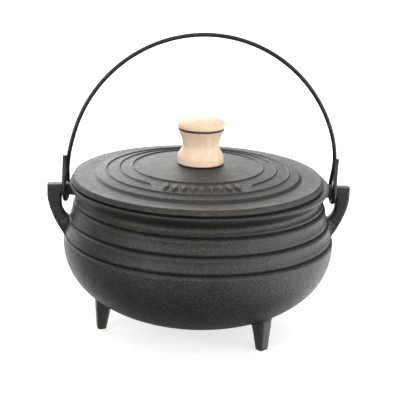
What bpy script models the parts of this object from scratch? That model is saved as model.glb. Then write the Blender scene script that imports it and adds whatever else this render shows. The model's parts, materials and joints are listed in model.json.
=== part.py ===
"""A three-legged cast iron dutch oven: pot, hinged bail, lid and turned wooden knob.

Units are metres, +Z is up and the floor is z = 0. The pot's axis is the Z axis, and its two ears lie along X.
Every turned piece is an outline of (radius, height) points swept round the Z axis of its own frame.
"""

import math

import bmesh
import bpy
from mathutils import Matrix, Vector

# ---------------------------------------------------------------- driving dimensions

# Pot, heights above the floor
RIM_HEIGHT = 0.151
RIM_RADIUS = 0.1285
RIM_WIDTH = 0.0105
BELLY_OVERHANG = 0.0065
UPPER_BODY = 0.059
BOWL_CLEARANCE = 0.011
BOWL_FULLNESS = 2.25
CAVITY_END_ANGLE = math.radians(83)
WALL = 0.0045

# Flared lip, neck and the stepped bands below it
LIP_FACE = 0.005
LIP_FLARE = 0.007
LIP_ROUND = 0.0014
NECK_INSET = 0.0070
BAND_COUNT = 3
FIRST_STEP_DROP = 0.0215
LAST_STEP_RISE = 0.0046
LEDGE_HEIGHT = 0.0034
BAND_SWELL = 0.0003

# Ears: a flat-topped horn joined to the rim by a bridge bar
EAR_THICKNESS = 0.0115
EAR_DROP = 0.005
EAR_EDGE = 0.0022
BRIDGE_HEIGHT = 0.011
HORN_WIDTH = 0.0142
HORN_STRAIGHT = 0.012
HORN_DEPTH = 0.052
HORN_BELLY = 0.018
HORN_TAPER = 0.0018
HOLE_DEPTH = 0.022
HOLE_TAPER = 0.0015
HOLE_ROUND = 0.003

# Legs
LEG_COUNT = 3
LEG_ANGLE = math.radians(71.5)
LEG_INSET = 0.042
LEG_RING_SHIFT = -0.0025
LEG_SPLAY = 0.0028
LEG_TOP_WIDTH = 0.0195
LEG_TOP_DEPTH = 0.019
LEG_FOOT_WIDTH = 0.011
LEG_FOOT_DEPTH = 0.0088
LEG_CORNER_SHARE = 0.35
FOOT_EDGE = 0.0012

# Bail: one round rod
ROD_DIAMETER = 0.0042
BAIL_RISE = 0.1552
HOOK_SLACK = 0.0032
STRAND_RUN = 0.0195
STRAND_LEAN = 0.0006
STRAND_JOIN = 0.040
BAIL_OFFSET = 0.001
HOOK_SPREADS = {1: 0.0009, -1: 0.0029}
ARCH_SHIFT = 0.002
ARCH_SHIFT_RISE = 0.060
ARCH_FULLNESS = 1.985
TAIL_LENGTH = 0.035
TAIL_LEAN = 0.0007
TAIL_END_OFFSET = 0.0045

# Lid
LID_INSET = 0.0035
LID_THICKNESS = 0.0052
LID_EDGE_DRAFT = 0.0022
FLANGE_WIDTH = 0.0215
STEP_WIDTH = 0.0035
STEP_HEIGHT = 0.0028
DOME_RISE = 0.0096
LID_WALL = 0.0045
LID_SEAT_SHIFT = -0.0022
LOCATING_RING_DEPTH = 0.0055
LOCATING_RING_WIDTH = 0.004
LOCATING_RING_PLAY = 0.0035
BEAD_SHARES = (0.6482, 0.7799, 0.9095)
BEAD_WIDTH = 0.0016
BEAD_HEIGHT = 0.0005
BEAD_GAP_INDEX = 1
BEAD_GAP_ANGLE = math.radians(74.0)
SEAT_PAD_RADIUS = 0.026
BOSS_RADIUS = 0.0115
BOSS_DEPTH = 0.0012

# Knob and its fastening
KNOB_HEIGHT = 0.0465
KNOB_FOOT_RADIUS = 0.0224
KNOB_WAIST_RADIUS = 0.018
KNOB_CAP_RADIUS = 0.0229
KNOB_FOOT_ROUND = 0.0012
KNOB_FOOT_HEIGHT = 0.008
KNOB_WAIST_SHARE = 0.4
KNOB_SHOULDER_INSET = 0.0005
KNOB_CAP_ROUND = 0.003
GROOVE_DROP = 0.011
GROOVE_DEPTH = 0.001
GROOVE_WIDTH = 0.0012
INSERT_RADIUS = 0.0048
INSERT_LENGTH = 0.014
INSERT_FLANGE_RADIUS = 0.0072
INSERT_FLANGE = 0.0012
SCREW_RADIUS = 0.0028
SCREW_HEAD_RADIUS = 0.0054
SCREW_HEAD_HEIGHT = 0.0032
SCREW_SLOT_WIDTH = 0.0013
SCREW_SLOT_DEPTH = 0.0012
SCREW_END_MARGIN = 0.002
WASHER_RADIUS = 0.0078
WASHER_THICKNESS = 0.0012

# Clearances
TOUCH_GAP = 0.0003
BORE_CLEARANCE = 0.0005
ROD_TO_RIM = 0.0004
ROD_TO_HORN = 0.0007

# Facets
ROUND_STEPS = 48
SMALL_STEPS = 24
LEG_SIDES = 16
BOWL_STEPS = 13
ARCH_STEPS = 44
HOOK_STEPS = 10
RUN_STEPS = 8

# ---------------------------------------------------------------- derived places

MOUTH_RADIUS = RIM_RADIUS - RIM_WIDTH
BELLY_RADIUS = RIM_RADIUS + BELLY_OVERHANG
BELLY_HEIGHT = RIM_HEIGHT - UPPER_BODY
BOWL_DEPTH = BELLY_HEIGHT - BOWL_CLEARANCE
NECK_RADIUS = RIM_RADIUS - NECK_INSET
FIRST_STEP_HEIGHT = RIM_HEIGHT - FIRST_STEP_DROP
LAST_STEP_HEIGHT = BELLY_HEIGHT + LAST_STEP_RISE
ROD_RADIUS = ROD_DIAMETER / 2
STRAND_REACH = RIM_RADIUS + ROD_TO_RIM + ROD_RADIUS + BAIL_OFFSET
TAIL_REACH = max(side * BAIL_OFFSET + STRAND_REACH + spread for side, spread in HOOK_SPREADS.items())
HORN_INNER_X = TAIL_REACH + ROD_RADIUS + ROD_TO_HORN
HORN_OUTER_X = HORN_INNER_X + HORN_WIDTH
EAR_TOP = RIM_HEIGHT - EAR_DROP
BRIDGE_BOTTOM = EAR_TOP - BRIDGE_HEIGHT
PIVOT_HEIGHT = EAR_TOP - BRIDGE_HEIGHT / 2
HOOK_RADIUS = BRIDGE_HEIGHT / 2 + HOOK_SLACK + ROD_RADIUS
LID_SEAT = RIM_HEIGHT + TOUCH_GAP
FLANGE_TOP = LID_SEAT + LID_THICKNESS
LID_RADIUS = RIM_RADIUS - LID_INSET
STEP_RADIUS = LID_RADIUS - FLANGE_WIDTH
DOME_RADIUS = STEP_RADIUS - STEP_WIDTH
BEAD_RADII = [share * DOME_RADIUS for share in BEAD_SHARES]
DOME_FOOT = FLANGE_TOP + STEP_HEIGHT
DOME_CURVE = DOME_RISE / DOME_RADIUS ** 2
RING_OUTER = MOUTH_RADIUS - LOCATING_RING_PLAY
RING_INNER = RING_OUTER - LOCATING_RING_WIDTH
LID_HOLE_RADIUS = SCREW_RADIUS + BORE_CLEARANCE


def dome_height(radius):
    """Height of the lid's upper face at a radius inside the step."""
    return DOME_FOOT + DOME_RISE - DOME_CURVE * radius ** 2


KNOB_SEAT = dome_height(SEAT_PAD_RADIUS)
LID_UNDERSIDE = KNOB_SEAT - LID_WALL - BOSS_DEPTH


# ---------------------------------------------------------------- general helpers

def clear_scene():
    """Remove every object, so that the model starts from nothing."""
    for item in list(bpy.data.objects):
        bpy.data.objects.remove(item, do_unlink=True)


def material(name, colour, roughness, metallic):
    """A plain Principled material."""
    made = bpy.data.materials.new(name)
    made.use_nodes = True
    shader = made.node_tree.nodes["Principled BSDF"]
    shader.inputs["Base Color"].default_value = (*colour, 1.0)
    shader.inputs["Roughness"].default_value = roughness
    shader.inputs["Metallic"].default_value = metallic
    return made


def mesh_object(name, bm, finish=None, smooth_angle=35.0):
    """Turn a bmesh into an object with outward faces and soft shading on its round sides."""
    bmesh.ops.recalc_face_normals(bm, faces=bm.faces)
    mesh = bpy.data.meshes.new(name)
    bm.to_mesh(mesh)
    bm.free()
    mesh.shade_smooth()
    mesh.set_sharp_from_angle(angle=math.radians(smooth_angle))
    made = bpy.data.objects.new(name, mesh)
    bpy.context.scene.collection.objects.link(made)
    if finish is not None:
        mesh.materials.append(finish)
    return made


def cutter(made):
    """Mark an object as a tool for another object's Boolean."""
    made.hide_render = True
    made.display_type = "WIRE"
    return made


def boolean(target, tool, operation):
    """Add an exact Boolean modifier."""
    modifier = target.modifiers.new(tool.name, "BOOLEAN")
    modifier.operation = operation
    modifier.solver = "EXACT"
    modifier.object = tool


def turned(outline, steps, lift=None):
    """Sweep (radius, height) points round Z. Ends on the axis close the body, or else the outline is a ring.

    lift(index, angle) raises a point, which lets a bead stop part of the way round.
    """
    bm = bmesh.new()
    rings = []
    for index, (radius, height) in enumerate(outline):
        if radius == 0.0:
            rings.append([bm.verts.new((0.0, 0.0, height))])
            continue
        ring = []
        for step in range(steps):
            angle = 2 * math.pi * step / steps
            rise = lift(index, angle) if lift else 0.0
            ring.append(bm.verts.new((radius * math.cos(angle), radius * math.sin(angle), height + rise)))
        rings.append(ring)
    pairs = list(zip(rings[:-1], rings[1:]))
    if outline[0][0] > 0.0:
        pairs.append((rings[-1], rings[0]))
    for lower, upper in pairs:
        for step in range(steps):
            after = (step + 1) % steps
            corners = [lower[step % len(lower)], lower[after % len(lower)],
                       upper[after % len(upper)], upper[step % len(upper)]]
            bm.faces.new(list(dict.fromkeys(corners)))
    return bm


def extruded(outline, thickness, edge):
    """A plate with its outline in X and Z, centred on Y = 0, with rounded edges."""
    bm = bmesh.new()
    front = [bm.verts.new((x, -thickness / 2, z)) for x, z in outline]
    back = [bm.verts.new((x, thickness / 2, z)) for x, z in outline]
    bm.faces.new(front)
    bm.faces.new(back)
    for index in range(len(outline)):
        after = (index + 1) % len(outline)
        bm.faces.new([front[index], front[after], back[after], back[index]])
    bmesh.ops.recalc_face_normals(bm, faces=bm.faces)
    rims = [e for e in bm.edges if abs(e.verts[0].co.y - e.verts[1].co.y) < thickness / 2]
    bmesh.ops.bevel(bm, geom=rims, offset=edge, segments=2, profile=0.5, affect="EDGES", clamp_overlap=True)
    return bm


def blend_curve(start, bend, end, steps):
    """Points of a quadratic curve from start to end, pulled towards bend."""
    points = []
    for step in range(steps + 1):
        t = step / steps
        weights = ((1 - t) ** 2, 2 * t * (1 - t), t ** 2)
        points.append(tuple(sum(w * p[axis] for w, p in zip(weights, (start, bend, end))) for axis in range(2)))
    return points


# ---------------------------------------------------------------- pot

def bowl_curve(radius, depth, last_angle):
    """The bowl's rounded bottom, from its lowest point to last_angle (90 degrees is the belly)."""
    points = []
    for step in range(BOWL_STEPS + 1):
        angle = last_angle * step / BOWL_STEPS
        r = radius * math.sin(angle) ** (2 / BOWL_FULLNESS)
        z = BELLY_HEIGHT - depth * max(math.cos(angle), 0.0) ** (2 / BOWL_FULLNESS)
        points.append((r, z))
    return points


def bowl_height(radius):
    """Height of the bowl's outer face at a radius."""
    return BELLY_HEIGHT - BOWL_DEPTH * (1 - (radius / BELLY_RADIUS) ** BOWL_FULLNESS) ** (1 / BOWL_FULLNESS)


def band_steps():
    """(radius above the step, height of the step) for each concave step, lowest first."""
    pitch = (FIRST_STEP_HEIGHT - LAST_STEP_HEIGHT) / (BAND_COUNT - 1)
    widening = (BELLY_RADIUS - NECK_RADIUS) / BAND_COUNT
    return [(BELLY_RADIUS - widening * (index + 1), LAST_STEP_HEIGHT + pitch * index) for index in range(BAND_COUNT)]


def pot_outline():
    """The pot's outer face from the lowest point of the bowl to the inner edge of the rim."""
    points = bowl_curve(BELLY_RADIUS, BOWL_DEPTH, math.pi / 2)
    below = BELLY_RADIUS
    floor = BELLY_HEIGHT
    for above, height in band_steps():
        ledge = min(LEDGE_HEIGHT, (height - floor) / 3)
        if floor > BELLY_HEIGHT:
            points.append((below + BAND_SWELL, (floor + height) / 2))
        points.append((below, height - ledge))
        points.append((below - 0.4 * (below - above), height - 0.35 * ledge))
        points.append((above, height))
        below = above
        floor = height
    lip_bottom = RIM_HEIGHT - LIP_FACE
    flare_bottom = lip_bottom - LIP_FLARE
    points.append((NECK_RADIUS, flare_bottom))
    points.append((NECK_RADIUS + 0.25 * NECK_INSET, flare_bottom + 0.2 * LIP_FLARE))
    points.append((NECK_RADIUS + 0.75 * NECK_INSET, flare_bottom + 0.55 * LIP_FLARE))
    points.append((RIM_RADIUS, lip_bottom))
    points.append((RIM_RADIUS, RIM_HEIGHT - LIP_ROUND))
    points.append((RIM_RADIUS - 0.3 * LIP_ROUND, RIM_HEIGHT - 0.3 * LIP_ROUND))
    points.append((RIM_RADIUS - LIP_ROUND, RIM_HEIGHT))
    points.append((MOUTH_RADIUS - WALL, RIM_HEIGHT))
    points.append((0.0, RIM_HEIGHT))
    points[0] = (0.0, points[0][1])
    return points


def cavity_outline():
    """The space inside the pot, smooth, from its lowest point up through the mouth."""
    points = bowl_curve(BELLY_RADIUS - WALL, BOWL_DEPTH - WALL, CAVITY_END_ANGLE)
    points[0] = (0.0, points[0][1])
    for above, height in band_steps()[:-1]:
        points.append((above - WALL, height))
    points.append((MOUTH_RADIUS, FIRST_STEP_HEIGHT))
    points.append((MOUTH_RADIUS, RIM_HEIGHT - LIP_ROUND / 2))
    points.append((MOUTH_RADIUS + LIP_ROUND / 2, RIM_HEIGHT + TOUCH_GAP))
    points.append((0.0, RIM_HEIGHT + TOUCH_GAP))
    return points


def outer_radius(height):
    """Radius of the pot's outer face at a height, read from its outline."""
    outline = pot_outline()
    for (r0, z0), (r1, z1) in zip(outline[:-1], outline[1:]):
        if z0 <= height <= z1 and z1 > z0:
            return r0 + (r1 - r0) * (height - z0) / (z1 - z0)
    return BELLY_RADIUS


def ear_outline():
    """One ear seen from the front: bridge bar, horn and the see-through hole between horn and neck."""
    root_x = NECK_RADIUS - WALL / 2
    foot_height = EAR_TOP - HORN_DEPTH
    foot_x = outer_radius(foot_height) - WALL / 2
    hole_height = BRIDGE_BOTTOM - HOLE_DEPTH
    hole_x = outer_radius(hole_height) - WALL / 2
    straight_end = EAR_TOP - HORN_STRAIGHT
    hook_bottom = PIVOT_HEIGHT - HOOK_RADIUS - ROD_RADIUS
    corner = LIP_ROUND
    outline = [(root_x, EAR_TOP), (HORN_OUTER_X - corner, EAR_TOP), (HORN_OUTER_X, EAR_TOP - corner)]
    outline += blend_curve((HORN_OUTER_X, straight_end), (HORN_OUTER_X - HORN_TAPER, straight_end - HORN_BELLY),
                           (foot_x + WALL / 2, foot_height), 8)
    outline.append((foot_x, foot_height))
    outline.append((hole_x, hole_height))
    outline += blend_curve((hole_x + WALL, hole_height), (HORN_INNER_X - HOLE_TAPER, hole_height + HOLE_ROUND),
                           (HORN_INNER_X, hook_bottom - TOUCH_GAP), 6)
    outline += [(HORN_INNER_X, BRIDGE_BOTTOM), (root_x, BRIDGE_BOTTOM)]
    return outline


def make_leg(index):
    """One tapered leg, standing on the floor and ending inside the bowl's wall."""
    centre = BELLY_RADIUS - LEG_INSET
    top = bowl_height(centre + LEG_TOP_DEPTH / 2 + abs(LEG_RING_SHIFT)) + WALL / 2
    sections = [
        (0.0, LEG_FOOT_WIDTH - 2 * FOOT_EDGE, LEG_FOOT_DEPTH - 2 * FOOT_EDGE, centre + LEG_SPLAY),
        (FOOT_EDGE, LEG_FOOT_WIDTH, LEG_FOOT_DEPTH, centre + LEG_SPLAY),
        (top, LEG_TOP_WIDTH, LEG_TOP_DEPTH, centre),
    ]
    bm = bmesh.new()
    rings = []
    for height, width, depth, middle in sections:
        corner = LEG_CORNER_SHARE * min(width, depth)
        ring = []
        for side in range(LEG_SIDES):
            angle = 2 * math.pi * (side + 0.5) / LEG_SIDES
            quadrant_x = math.copysign(depth / 2 - corner, math.cos(angle))
            quadrant_y = math.copysign(width / 2 - corner, math.sin(angle))
            ring.append(bm.verts.new((middle + quadrant_x + corner * math.cos(angle),
                                      quadrant_y + corner * math.sin(angle), height)))
        rings.append(ring)
    bm.faces.new(rings[0])
    bm.faces.new(rings[-1])
    for lower, upper in zip(rings[:-1], rings[1:]):
        for side in range(LEG_SIDES):
            after = (side + 1) % LEG_SIDES
            bm.faces.new([lower[side], lower[after], upper[after], upper[side]])
    turn = LEG_ANGLE + 2 * math.pi * index / LEG_COUNT
    bmesh.ops.transform(bm, matrix=Matrix.Rotation(turn, 4, "Z"), verts=bm.verts)
    bmesh.ops.translate(bm, vec=(LEG_RING_SHIFT, 0.0, 0.0), verts=bm.verts)
    return cutter(mesh_object(f"leg_tool_{index + 1}", bm))


def make_pot(finish):
    """The single casting: bowl, rim, ears and legs."""
    pot = mesh_object("pot", turned(pot_outline(), ROUND_STEPS), finish)
    for side, name in ((1, "right"), (-1, "left")):
        bm = extruded([(side * x, z) for x, z in ear_outline()], EAR_THICKNESS, EAR_EDGE)
        boolean(pot, cutter(mesh_object(f"ear_tool_{name}", bm)), "UNION")
    for index in range(LEG_COUNT):
        boolean(pot, make_leg(index), "UNION")
    cavity = cutter(mesh_object("cavity_tool", turned(cavity_outline(), ROUND_STEPS)))
    boolean(pot, cavity, "DIFFERENCE")
    return pot


# ---------------------------------------------------------------- bail

def eased(start, end, share):
    """A value that leaves start and reaches end with no slope."""
    return start + (end - start) * (1 - math.cos(math.pi * share)) / 2


def rod_shift(height):
    """How far the rod stands towards +X at a height above the pivot."""
    return eased(BAIL_OFFSET, BAIL_OFFSET + ARCH_SHIFT, min(max(height / ARCH_SHIFT_RISE, 0.0), 1.0))


def side_points(side):
    """Centre line of one hook, from the tail's end down round the bar and up the strand, with the pivot at z = 0."""
    points = []
    tail_reach = STRAND_REACH + HOOK_SPREADS[side]
    for step in range(RUN_STEPS):
        share = 1 - step / RUN_STEPS
        height = TAIL_LENGTH * share
        x = side * (tail_reach + TAIL_LEAN * share) + rod_shift(height)
        points.append((x, -eased(HOOK_RADIUS, TAIL_END_OFFSET, share), height))
    for step in range(HOOK_STEPS + 1):
        share = step / HOOK_STEPS
        angle = math.pi * share
        x = side * eased(tail_reach, STRAND_REACH, share) + rod_shift(0.0)
        points.append((x, -HOOK_RADIUS * math.cos(angle), -HOOK_RADIUS * math.sin(angle)))
    for step in range(1, RUN_STEPS + 1):
        height = STRAND_RUN * step / RUN_STEPS
        x = side * (STRAND_REACH + STRAND_LEAN * step / RUN_STEPS) + rod_shift(height)
        points.append((x, eased(HOOK_RADIUS, 0.0, height / STRAND_JOIN), height))
    return points


def bail_points():
    """The whole rod from the right tail over the arch to the left tail."""
    arch = []
    half_width = STRAND_REACH + STRAND_LEAN
    for step in range(1, ARCH_STEPS):
        angle = math.pi * step / ARCH_STEPS
        height = STRAND_RUN + (BAIL_RISE - STRAND_RUN) * math.sin(angle) ** (2 / ARCH_FULLNESS)
        reach = math.copysign(half_width * abs(math.cos(angle)) ** (2 / ARCH_FULLNESS), math.cos(angle))
        share = min(height / STRAND_JOIN, 1.0)
        arch.append((reach + rod_shift(height), eased(HOOK_RADIUS, 0.0, share), height))
    return side_points(1) + arch + side_points(-1)[::-1]


def make_bail(finish):
    """The rod as a bevelled curve whose origin is on the hinge axis."""
    curve = bpy.data.curves.new("bail", "CURVE")
    curve.dimensions = "3D"
    curve.bevel_depth = ROD_RADIUS
    curve.bevel_resolution = 2
    curve.use_fill_caps = True
    points = bail_points()
    spline = curve.splines.new("POLY")
    spline.points.add(len(points) - 1)
    for target, point in zip(spline.points, points):
        target.co = (*point, 1.0)
    spline.use_smooth = True
    curve.materials.append(finish)
    bail = bpy.data.objects.new("bail", curve)
    bpy.context.scene.collection.objects.link(bail)
    bail.location = (0.0, 0.0, PIVOT_HEIGHT)
    return bail


# ---------------------------------------------------------------- lid

def lid_outline():
    """(radius, height) points of the lid above its seat, and the bead that each point belongs to."""
    edge_round = 0.25 * LID_THICKNESS
    top = [(0.0, KNOB_SEAT), (SEAT_PAD_RADIUS, KNOB_SEAT)]
    bead_of = {}
    for bead, radius in enumerate(BEAD_RADII):
        top.append((radius - BEAD_WIDTH, dome_height(radius - BEAD_WIDTH)))
        bead_of[len(top)] = bead
        top.append((radius, dome_height(radius)))
        top.append((radius + BEAD_WIDTH, dome_height(radius + BEAD_WIDTH)))
    top.append((DOME_RADIUS, dome_height(DOME_RADIUS)))
    top.append((DOME_RADIUS + 0.45 * STEP_WIDTH, DOME_FOOT - 0.6 * STEP_HEIGHT))
    top.append((STEP_RADIUS, FLANGE_TOP))
    edge = LID_RADIUS - LID_EDGE_DRAFT
    top += [(edge - edge_round, FLANGE_TOP), (edge, FLANGE_TOP - edge_round), (LID_RADIUS, LID_SEAT)]
    underside = [(RING_OUTER, LID_SEAT), (RING_OUTER, LID_SEAT - LOCATING_RING_DEPTH),
                 (RING_INNER, LID_SEAT - LOCATING_RING_DEPTH), (RING_INNER, LID_SEAT)]
    for share in (1.0, 0.75, 0.5):
        radius = DOME_RADIUS * share
        underside.append((radius, dome_height(radius) - LID_WALL))
    boss = BOSS_RADIUS + abs(LID_SEAT_SHIFT)
    underside += [(boss + BOSS_DEPTH, dome_height(boss) - LID_WALL), (boss, LID_UNDERSIDE), (0.0, LID_UNDERSIDE)]
    return top + underside, bead_of


def make_lid(finish, axis):
    """The lid casting, turned about its own centre, with the screw hole on the pot's axis."""
    outline, bead_of = lid_outline()

    def lift(index, angle):
        if index not in bead_of:
            return 0.0
        from_front = abs(math.atan2(math.sin(angle + math.pi / 2), math.cos(angle + math.pi / 2)))
        broken = bead_of[index] == BEAD_GAP_INDEX and from_front < BEAD_GAP_ANGLE / 2
        return 0.0 if broken else BEAD_HEIGHT

    bm = turned(outline, ROUND_STEPS, lift)
    bmesh.ops.translate(bm, vec=Vector((LID_SEAT_SHIFT, 0.0, -LID_SEAT)), verts=bm.verts)
    lid = mesh_object("lid", bm, finish)
    lid.parent = axis
    depth = KNOB_SEAT - LID_SEAT
    hole = [(0.0, 0.0), (LID_HOLE_RADIUS, 0.0), (LID_HOLE_RADIUS, 2 * depth), (0.0, 2 * depth)]
    tool = cutter(mesh_object("screw_hole_tool", turned(hole, SMALL_STEPS)))
    tool.parent = axis
    boolean(lid, tool, "DIFFERENCE")
    return lid


# ---------------------------------------------------------------- knob and fastening

def knob_outline():
    """The turned knob above its base, with the insert's stepped bore."""
    groove_at = KNOB_HEIGHT - GROOVE_DROP
    flange_bore = INSERT_FLANGE_RADIUS + TOUCH_GAP
    bore = INSERT_RADIUS + TOUCH_GAP
    flange_top = INSERT_FLANGE + TOUCH_GAP
    bore_top = flange_top + INSERT_LENGTH
    waist_at = KNOB_WAIST_SHARE * KNOB_HEIGHT
    outline = [(0.0, bore_top), (bore, bore_top), (bore, flange_top), (flange_bore, flange_top), (flange_bore, 0.0)]
    outline += [(KNOB_FOOT_RADIUS - KNOB_FOOT_ROUND, 0.0), (KNOB_FOOT_RADIUS, KNOB_FOOT_ROUND),
                (KNOB_FOOT_RADIUS, KNOB_FOOT_HEIGHT)]
    for share in (0.35, 0.7, 1.0):
        height = KNOB_FOOT_HEIGHT + (waist_at - KNOB_FOOT_HEIGHT) * share
        outline.append((eased(KNOB_FOOT_RADIUS, KNOB_WAIST_RADIUS, share), height))
    shoulder = KNOB_CAP_RADIUS - KNOB_SHOULDER_INSET
    under_groove = groove_at - GROOVE_WIDTH / 2
    for share in (0.3, 0.65, 1.0):
        height = waist_at + (under_groove - waist_at) * share
        outline.append((eased(KNOB_WAIST_RADIUS, shoulder, share), height))
    outline.append((shoulder - GROOVE_DEPTH, groove_at))
    outline.append((shoulder, groove_at + GROOVE_WIDTH / 2))
    outline.append((KNOB_CAP_RADIUS, groove_at + KNOB_CAP_ROUND))
    outline.append((KNOB_CAP_RADIUS, KNOB_HEIGHT - 2 * KNOB_CAP_ROUND))
    outline.append((0.87 * KNOB_CAP_RADIUS, KNOB_HEIGHT - 0.8 * KNOB_CAP_ROUND))
    outline.append((0.5 * KNOB_CAP_RADIUS, KNOB_HEIGHT - 0.15 * KNOB_CAP_ROUND))
    outline.append((0.0, KNOB_HEIGHT))
    return outline


def place_on_lid(made, height, axis):
    """Stand a piece at a height above the lid's seat, on the lid's lifting axis."""
    made.parent = axis
    made.location = (0.0, 0.0, height - LID_SEAT)


def make_knob(finish, axis):
    """The wooden knob."""
    knob = mesh_object("knob", turned(knob_outline(), SMALL_STEPS), finish)
    place_on_lid(knob, KNOB_SEAT + TOUCH_GAP, axis)


def make_insert(finish, axis):
    """The flanged sleeve that holds the screw's thread inside the knob."""
    bore = SCREW_RADIUS + TOUCH_GAP
    top = INSERT_FLANGE + INSERT_LENGTH - TOUCH_GAP
    outline = [(bore, 0.0), (INSERT_FLANGE_RADIUS, 0.0), (INSERT_FLANGE_RADIUS, INSERT_FLANGE),
               (INSERT_RADIUS, INSERT_FLANGE), (INSERT_RADIUS, top), (bore, top)]
    insert = mesh_object("knob_insert", turned(outline, SMALL_STEPS), finish)
    place_on_lid(insert, KNOB_SEAT + TOUCH_GAP, axis)


def make_washer(finish, axis):
    """The flat washer under the lid's boss."""
    bore = SCREW_RADIUS + BORE_CLEARANCE
    outline = [(bore, -WASHER_THICKNESS), (WASHER_RADIUS, -WASHER_THICKNESS), (WASHER_RADIUS, 0.0), (bore, 0.0)]
    washer = mesh_object("knob_washer", turned(outline, SMALL_STEPS), finish)
    place_on_lid(washer, LID_UNDERSIDE - TOUCH_GAP, axis)


def make_screw(finish, axis):
    """The slotted screw that comes up through the washer and the lid into the insert."""
    head_top = LID_UNDERSIDE - WASHER_THICKNESS - 2 * TOUCH_GAP
    shank = KNOB_SEAT + TOUCH_GAP + INSERT_FLANGE + INSERT_LENGTH - SCREW_END_MARGIN - head_top
    outline = [(0.0, -SCREW_HEAD_HEIGHT), (0.7 * SCREW_HEAD_RADIUS, -SCREW_HEAD_HEIGHT),
               (SCREW_HEAD_RADIUS, -0.6 * SCREW_HEAD_HEIGHT), (SCREW_HEAD_RADIUS, 0.0), (SCREW_RADIUS, 0.0),
               (SCREW_RADIUS, shank - SCREW_RADIUS / 4), (0.75 * SCREW_RADIUS, shank), (0.0, shank)]
    screw = mesh_object("knob_screw", turned(outline, SMALL_STEPS), finish)
    place_on_lid(screw, head_top, axis)
    bm = bmesh.new()
    bmesh.ops.create_cube(bm, size=1.0)
    size = (3 * SCREW_HEAD_RADIUS, SCREW_SLOT_WIDTH, 2 * SCREW_SLOT_DEPTH)
    bmesh.ops.scale(bm, vec=size, verts=bm.verts)
    bmesh.ops.translate(bm, vec=(0.0, 0.0, -SCREW_HEAD_HEIGHT), verts=bm.verts)
    slot = cutter(mesh_object("slot_tool", bm))
    slot.parent = screw
    boolean(screw, slot, "DIFFERENCE")


# ---------------------------------------------------------------- the whole object

def main():
    clear_scene()
    iron = material("seasoned_cast_iron", (0.035, 0.034, 0.036), 0.45, 0.6)
    lid_iron = material("lid_cast_iron", (0.075, 0.075, 0.076), 0.5, 0.6)
    rod = material("blackened_rod", (0.012, 0.012, 0.013), 0.3, 0.6)
    wood = material("pale_turned_wood", (0.78, 0.66, 0.5), 0.45, 0.0)
    steel = material("plated_steel", (0.55, 0.55, 0.53), 0.3, 1.0)
    brass = material("brass", (0.7, 0.52, 0.22), 0.3, 1.0)
    make_pot(iron)
    make_bail(rod)
    axis = bpy.data.objects.new("lid_lift_axis", None)
    axis.location = (0.0, 0.0, LID_SEAT)
    bpy.context.scene.collection.objects.link(axis)
    make_lid(lid_iron, axis)
    make_knob(wood, axis)
    make_insert(brass, axis)
    make_washer(steel, axis)
    make_screw(steel, axis)


main()
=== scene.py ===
"""Looks for a three-legged cast iron pot with a hinged bail, a domed lid and a turned wooden knob.

Laid out as an add-on: the sizes and colours are properties of the scene, each piece has an operator,
and a sidebar panel lists the operators in their order. Units are metres, +Z is up, the pot's axis is the
Z axis and its ears lie along X. Every turned piece is an outline of (radius, height) points.
"""

import json
import math

import bmesh
import bpy
import numpy as np
from bpy.props import FloatProperty, FloatVectorProperty, IntProperty, PointerProperty
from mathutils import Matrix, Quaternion, Vector, kdtree


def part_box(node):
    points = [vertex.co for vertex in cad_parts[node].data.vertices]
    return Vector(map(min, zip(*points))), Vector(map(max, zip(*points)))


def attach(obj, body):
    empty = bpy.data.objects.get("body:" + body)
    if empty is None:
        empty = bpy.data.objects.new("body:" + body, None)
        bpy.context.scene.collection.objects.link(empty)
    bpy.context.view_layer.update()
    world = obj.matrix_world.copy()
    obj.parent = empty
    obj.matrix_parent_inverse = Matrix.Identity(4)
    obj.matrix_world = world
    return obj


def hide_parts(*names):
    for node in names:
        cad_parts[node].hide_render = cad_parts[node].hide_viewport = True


bl_info = {
    "name": "Cast iron pot",
    "version": (1, 0, 0),
    "blender": (4, 5, 0),
    "location": "View3D > Sidebar > Iron pot",
    "description": "Builds a three-legged cast iron pot, its bail, lid and knob, and a plain stage",
    "category": "Object",
}

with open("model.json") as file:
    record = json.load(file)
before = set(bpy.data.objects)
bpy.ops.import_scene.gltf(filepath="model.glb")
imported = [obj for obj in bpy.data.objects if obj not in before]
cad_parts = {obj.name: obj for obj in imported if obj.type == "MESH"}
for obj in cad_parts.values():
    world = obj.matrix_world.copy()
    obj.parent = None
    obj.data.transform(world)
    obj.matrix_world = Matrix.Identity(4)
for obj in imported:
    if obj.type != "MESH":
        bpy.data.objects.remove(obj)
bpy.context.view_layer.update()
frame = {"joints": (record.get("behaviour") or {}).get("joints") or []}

_, POT_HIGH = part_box("pot")
LID_LOW, LID_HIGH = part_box("lid")
BAIL_LOW, BAIL_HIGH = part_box("bail")
KNOB_LOW, KNOB_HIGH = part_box("knob")
INSERT_LOW, INSERT_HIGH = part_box("knob_insert")
SCREW_LOW, SCREW_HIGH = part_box("knob_screw")
WASHER_LOW, WASHER_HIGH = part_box("knob_washer")
PIVOT = Vector(next(joint["pos_m"] for joint in frame["joints"] if joint["name"] == "bail_swing"))

TOUCH_GAP = 0.0003  # between pieces that touch
HOOK_RADIUS = 0.0108  # of the bail's hooks, at the rod's centre
CAP_MARGIN = 0.0004  # the knob's cap stands this far outside its CAD solid

CASTING_FACETS = 288  # round the pot's body and the lid
KNOB_FACETS = 128
WASHER_FACETS = 64  # round the washer and the insert
SCREW_FACETS = 32


# ---------------------------------------------------------------- sizes and colours

def number(name, description, default):
    """A property that holds a plain number."""
    return FloatProperty(name=name, description=description, default=default)


def length(name, description, default):
    """A property that holds a length in metres."""
    return FloatProperty(name=name, description=description, default=default, unit="LENGTH", precision=5)


def angle(name, description, degrees):
    """A property that holds an angle."""
    return FloatProperty(name=name, description=description, default=math.radians(degrees), unit="ROTATION")


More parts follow.
